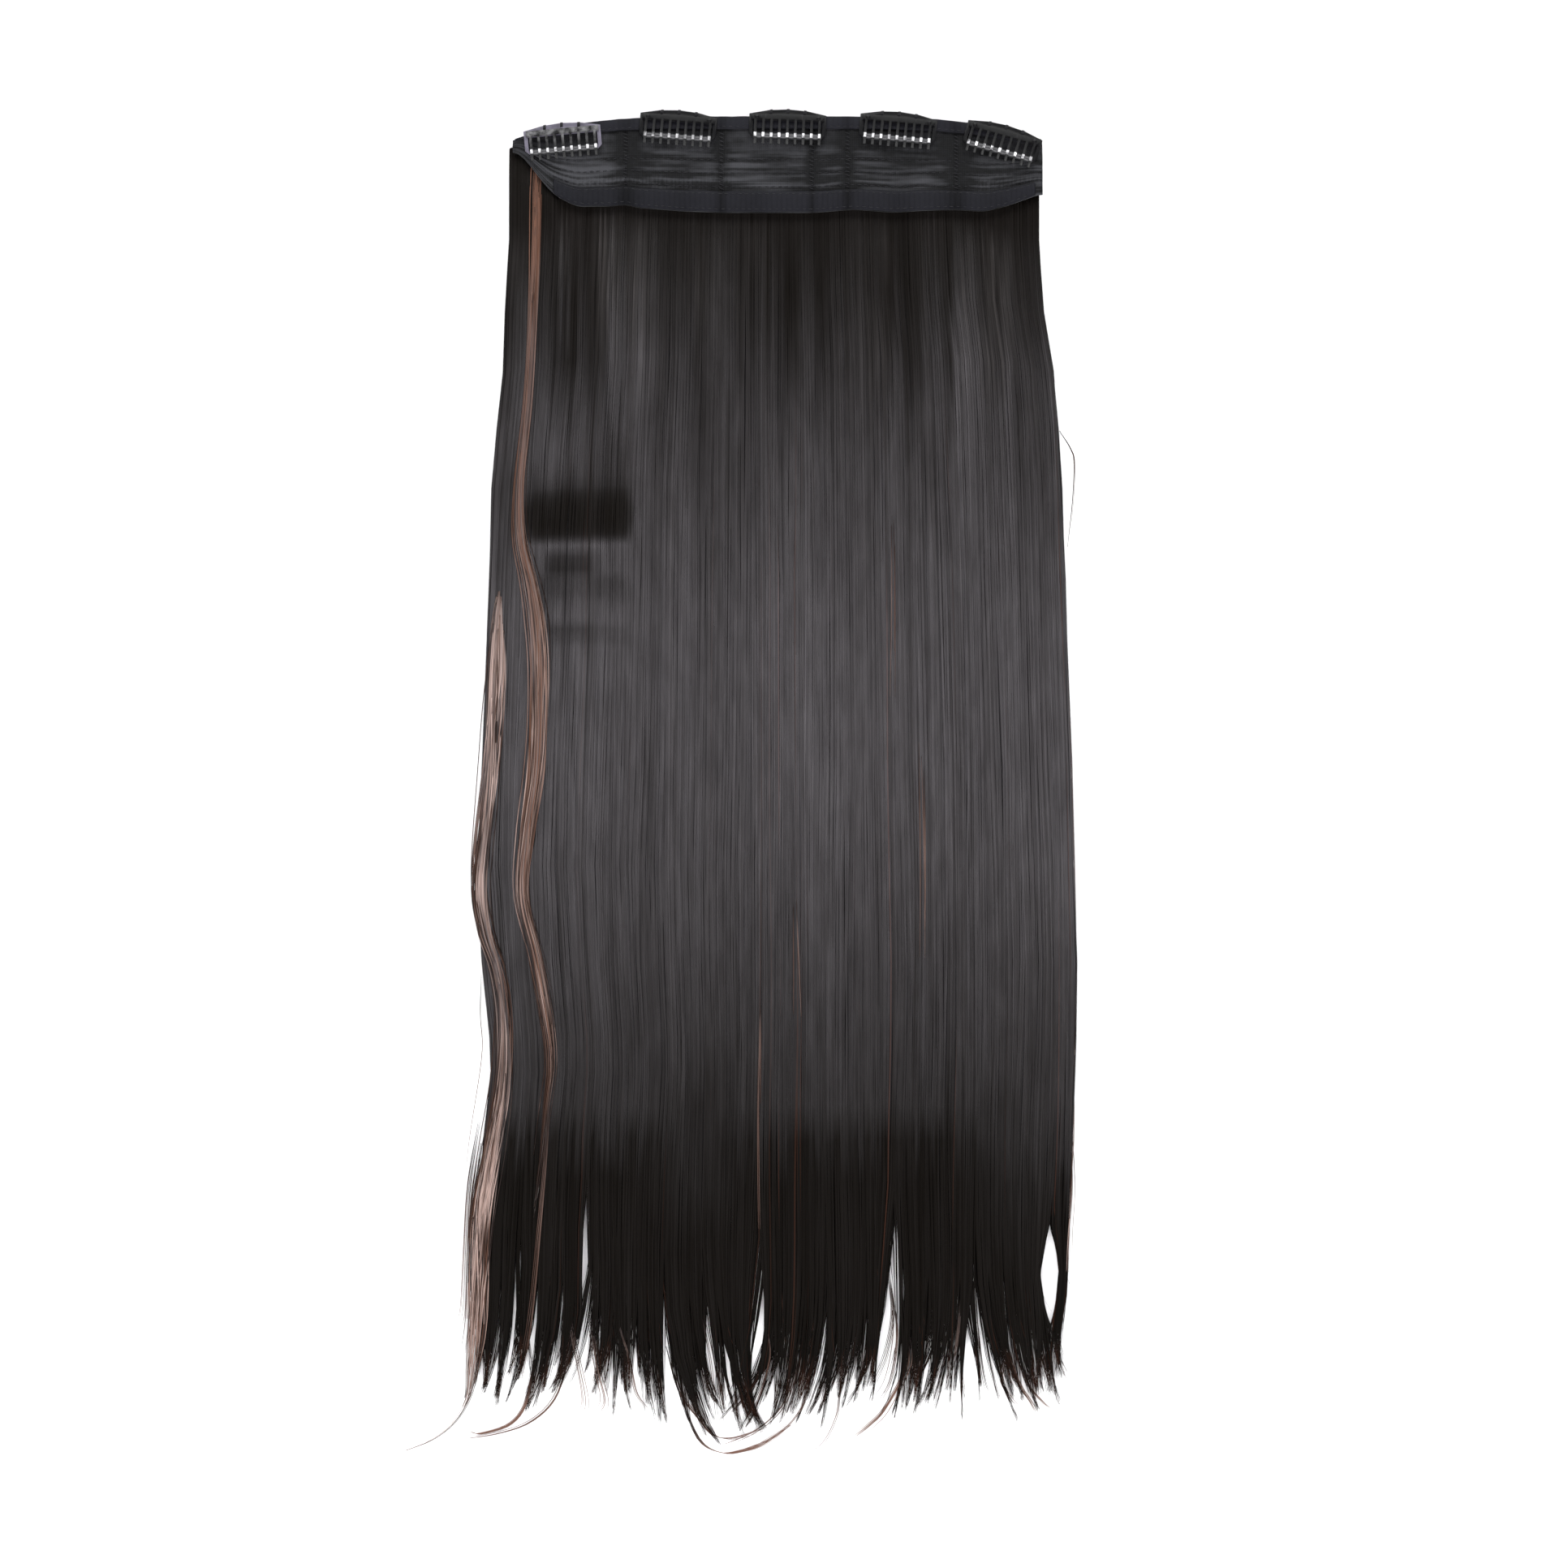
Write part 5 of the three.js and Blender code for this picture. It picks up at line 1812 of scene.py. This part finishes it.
class Finishes:
    """Every material of the hairpiece."""

    def __init__(self) -> None:
        """Makes the shared groups and the materials."""
        grain, weave, scratches = fibre_grain(), cloth_weave(), fine_scratches()
        self.hair = HairFinish(
            name="dark_hair",
            dark=(0.0017, 0.001, 0.0004, 1),
            pale=(0.037, 0.0335, 0.0325, 1),
            warm=(0.055, 0.02, 0.011, 1),
            sheen_roughness=0.266,
            uneven=0.024,
        ).make(grain)
        self.chestnut = HairFinish(
            name="chestnut_hair",
            dark=(0.009, 0.0045, 0.003, 1),
            pale=(0.33, 0.242, 0.212, 1),
            warm=(0.115, 0.056, 0.037, 1),
            sheen_roughness=0.35,
            uneven=0.13,
        ).make(grain)
        self.lace = ClothFinish(
            name="dark_lace",
            dark=(0.0012, 0.0013, 0.0015, 1),
            pale=(0.04, 0.0408, 0.0452, 1),
            warp=1150.0,
            weft=1150.0,
            roughness=(0.6, 0.9),
            bump=0.55,
            sheen=0.06,
            specular=0.13,
        ).make(weave)
        self.ribbon = ClothFinish(
            name="smooth_ribbon",
            dark=(0.0007, 0.0008, 0.0016, 1),
            pale=(0.0085, 0.0087, 0.0118, 1),
            warp=420.0,
            weft=2400.0,
            roughness=(0.42, 0.62),
            bump=0.2,
            sheen=0.01,
            specular=0.08,
        ).make(weave)
        self.thread = ClothFinish(
            name="sewing_thread",
            dark=(0.0028, 0.0028, 0.0033, 1),
            pale=(0.014, 0.014, 0.017, 1),
            warp=5200.0,
            weft=5200.0,
            roughness=(0.45, 0.7),
            bump=0.3,
            sheen=0.05,
        ).make(weave)
        # On the frames the bare colour is a painted lavender-grey reflection
        self.lacquer = MetalFinish(
            name="black_lacquer",
            wear_and_sheen_by="painted_reflection",
            wear_and_sheen_span=(0.5, 2.0),
            coat=(0.0026, 0.0027, 0.0032, 1),
            bare=(0.13, 0.122, 0.155, 1),
            bare_metal=0.2,
            scale=160.0,
            patchy=(-0.1, 1.7),
        ).make(scratches)
        # On the comb the bare steel at the bends is partly wear and partly a painted glint of the glossy
        # lacquer, and its bare back on the first clip is a painted highlight
        self.comb = MetalFinish(
            name="comb_steel_wear_and_sheen",
            wear_and_sheen_by="past_bar",
            wear_and_sheen_span=(-0.95, 1.05),
            coat=(0.0022, 0.0023, 0.0026, 1),
            bare=(0.86, 0.86, 0.88, 1),
            bare_metal=0.75,
            scale=330.0,
            patchy=(-0.8, 2.0),
        ).make(scratches)
        self.silicone = SiliconeFinish().make(scratches)


CHESTNUT_LOCKS = (
    ChestnutLock(
        node="chestnut_lock_inner",
        route=CHESTNUT_INNER,
        strands=64,
        seed=41,
        short_share=1.0,
        cut=(0.02, 0.3),
        warm=0.25,
        fade=1.0,
        shade=INNER_SHADE,
        stagger=0.008,
    ),
    ChestnutLock(
        node="chestnut_lock_outer",
        route=CHESTNUT_OUTER,
        strands=84,
        seed=42,
        short_share=0.9,
        cut=(0.08, 0.26),
        warm=0.05,
        fade=0.0,
        shade=OUTER_SHADE,
        stagger=0.05,
    ),
)
BINDING = Ribbon(
    name="binding_ribbon",
    first=-0.1,
    last=6.0,
    low=0.98,
    thickness=1.3,
    left=-0.99,
    right=0.995,
    seed=8,
    tone=0.85,
    seam_dark=0.4,
)
HEM = Ribbon(
    name="hem_ribbon",
    first=36.0,
    last=46.1,
    low=1.0,
    thickness=1.25,
    left=-0.843,
    right=0.97,
    seed=9,
    tone=0.62,
    seam_dark=0.6,
)


@dataclass
class Hairpiece:
    """The whole extension."""

    row_starts: tuple[float, ...] = (3.4, 19.8, 26.1, 32.7)
    row_strands: tuple[int, ...] = (880, 880, 880, 1120)

    def build(self, finishes: Finishes) -> None:
        """Builds and dresses every piece.

        Args:
            finishes: Materials to wear.
        """
        for row, (start, strands) in enumerate(zip(self.row_starts, self.row_strands, strict=True)):
            hair = HairRow(row=row, strands=strands, start=start, seed=100 + row)
            dress(hair.build(), finishes.hair, ROOT, [hair.name])
        for lock in CHESTNUT_LOCKS:
            dress(lock.build(), finishes.chestnut, ROOT, [lock.node])
        dress(Flyaways().build(), finishes.chestnut, ROOT, [])
        self._band(finishes)
        for number, given in enumerate(CLIPS, start=1):
            SnapClip(number, *given).build(finishes)

    def _band(self, finishes: Finishes) -> None:
        """Builds the lace, its ribbons and its stitches."""
        lace = LaceBase().build()
        dress(lace, finishes.lace, ROOT, [f"lace_panel_{i}" for i in range(1, 7)])
        binding = BINDING.build()
        dress(binding, finishes.ribbon, ROOT, ["top_binding"])
        hem = HEM.build()
        dress(hem, finishes.ribbon, ROOT, ["hem_band"])
        stitches = Stitches().build()
        dress(stitches, finishes.thread, ROOT, [])
        cut = float(np.trapz(BASE_EDGE[:, 1], BASE_EDGE[:, 0]))
        cut = cut * BAND.half * BAND.height * MM * MM


@dataclass
class Studio:
    """Floor, lamps and camera."""

    camera_height: float = 2.5
    view_width: float = 0.73416
    sensor: float = 36.0
    aim: tuple[float, float] = (0.02008, -0.0015)
    tint: tuple[float, float, float] = (1.0, 0.94, 1.02)
    floor_half: float = 5.0
    floor_drop: float = 0.0002
    key_sides: tuple[tuple[float, float], ...] = ((-0.35, -1), (-0.35, 1), (0.35, -1), (0.35, 1))

    def build(self) -> None:
        """Sets up the studio."""
        self._floor()
        self._world()
        self._softbox("overhead_softbox", (0.0, 0.032, 2.3), (2.0, 0.28), 17.4)
        for number, (x, y) in enumerate(self.key_sides, start=1):
            self._sun(f"key_{number}", (x, y, 0.85), 1.9)
        self._camera()
        bpy.context.scene.view_settings.view_transform = "Standard"

    def _floor(self) -> None:
        """Makes a plain pale floor."""
        half = self.floor_half
        mesh = bpy.data.meshes.new("floor")
        corners = [(-half, -half), (half, -half), (half, half), (-half, half)]
        mesh.from_pydata([(x, y, -self.floor_drop) for x, y in corners], [], [(0, 1, 2, 3)])
        material, graph, shader = new_material("pale_floor")
        graph.give(shader, {"Base Color": (0.9, 0.9, 0.9, 1), "Roughness": 0.9})
        mesh.materials.append(material)
        link("floor", mesh)

    def _world(self) -> None:
        """Makes a soft surround: pale round the horizon and dark overhead."""
        world = bpy.data.worlds.new("studio")
        world.use_nodes = True
        bpy.context.scene.world = world
        graph = Graph(world.node_tree)
        parts = graph.add("ShaderNodeSeparateXYZ")
        graph.feed(parts.inputs[0], graph.add("ShaderNodeTexCoord").outputs["Generated"])
        strength = graph.ramp(parts.outputs[2], 0.1, 0.75, 0.85, 0.06)
        background = next(n for n in world.node_tree.nodes if n.type == "BACKGROUND")
        graph.give(background, {"Color": (1, 1, 1, 1), "Strength": strength})

    def _softbox(
        self, name: str, place: tuple[float, float, float], size: tuple[float, float], power: float
    ) -> None:
        """Hangs a soft lamp that shines straight down."""
        lamp = bpy.data.lights.new(name, "AREA")
        lamp.shape = "RECTANGLE"
        lamp.size, lamp.size_y = size
        lamp.color = self.tint
        lamp.energy = power
        link(name, lamp).location = place

    def _sun(self, name: str, toward: tuple[float, float, float], strength: float) -> None:
        """Adds a broad soft light from one direction."""
        lamp = bpy.data.lights.new(name, "SUN")
        lamp.energy = strength
        lamp.angle = math.radians(26)
        x, y, z = toward
        link(name, lamp).rotation_euler = (math.atan2(math.hypot(x, y), z), 0, math.atan2(x, -y))

    def _camera(self) -> None:
        """Places the camera straight above, as the photograph was taken."""
        camera = bpy.data.cameras.new("camera")
        camera.sensor_width = self.sensor
        camera.lens = self.sensor * self.camera_height / self.view_width
        camera.clip_end = 50.0
        holder = link("camera", camera)
        holder.location = (*self.aim, self.camera_height)
        bpy.context.scene.camera = holder


def main() -> None:
    """Builds the hairpiece and the studio."""
    logging.basicConfig(level=logging.INFO, format="%(message)s")
    Hairpiece().build(Finishes())
    Studio().build()


if __name__ == "__main__":
    main()
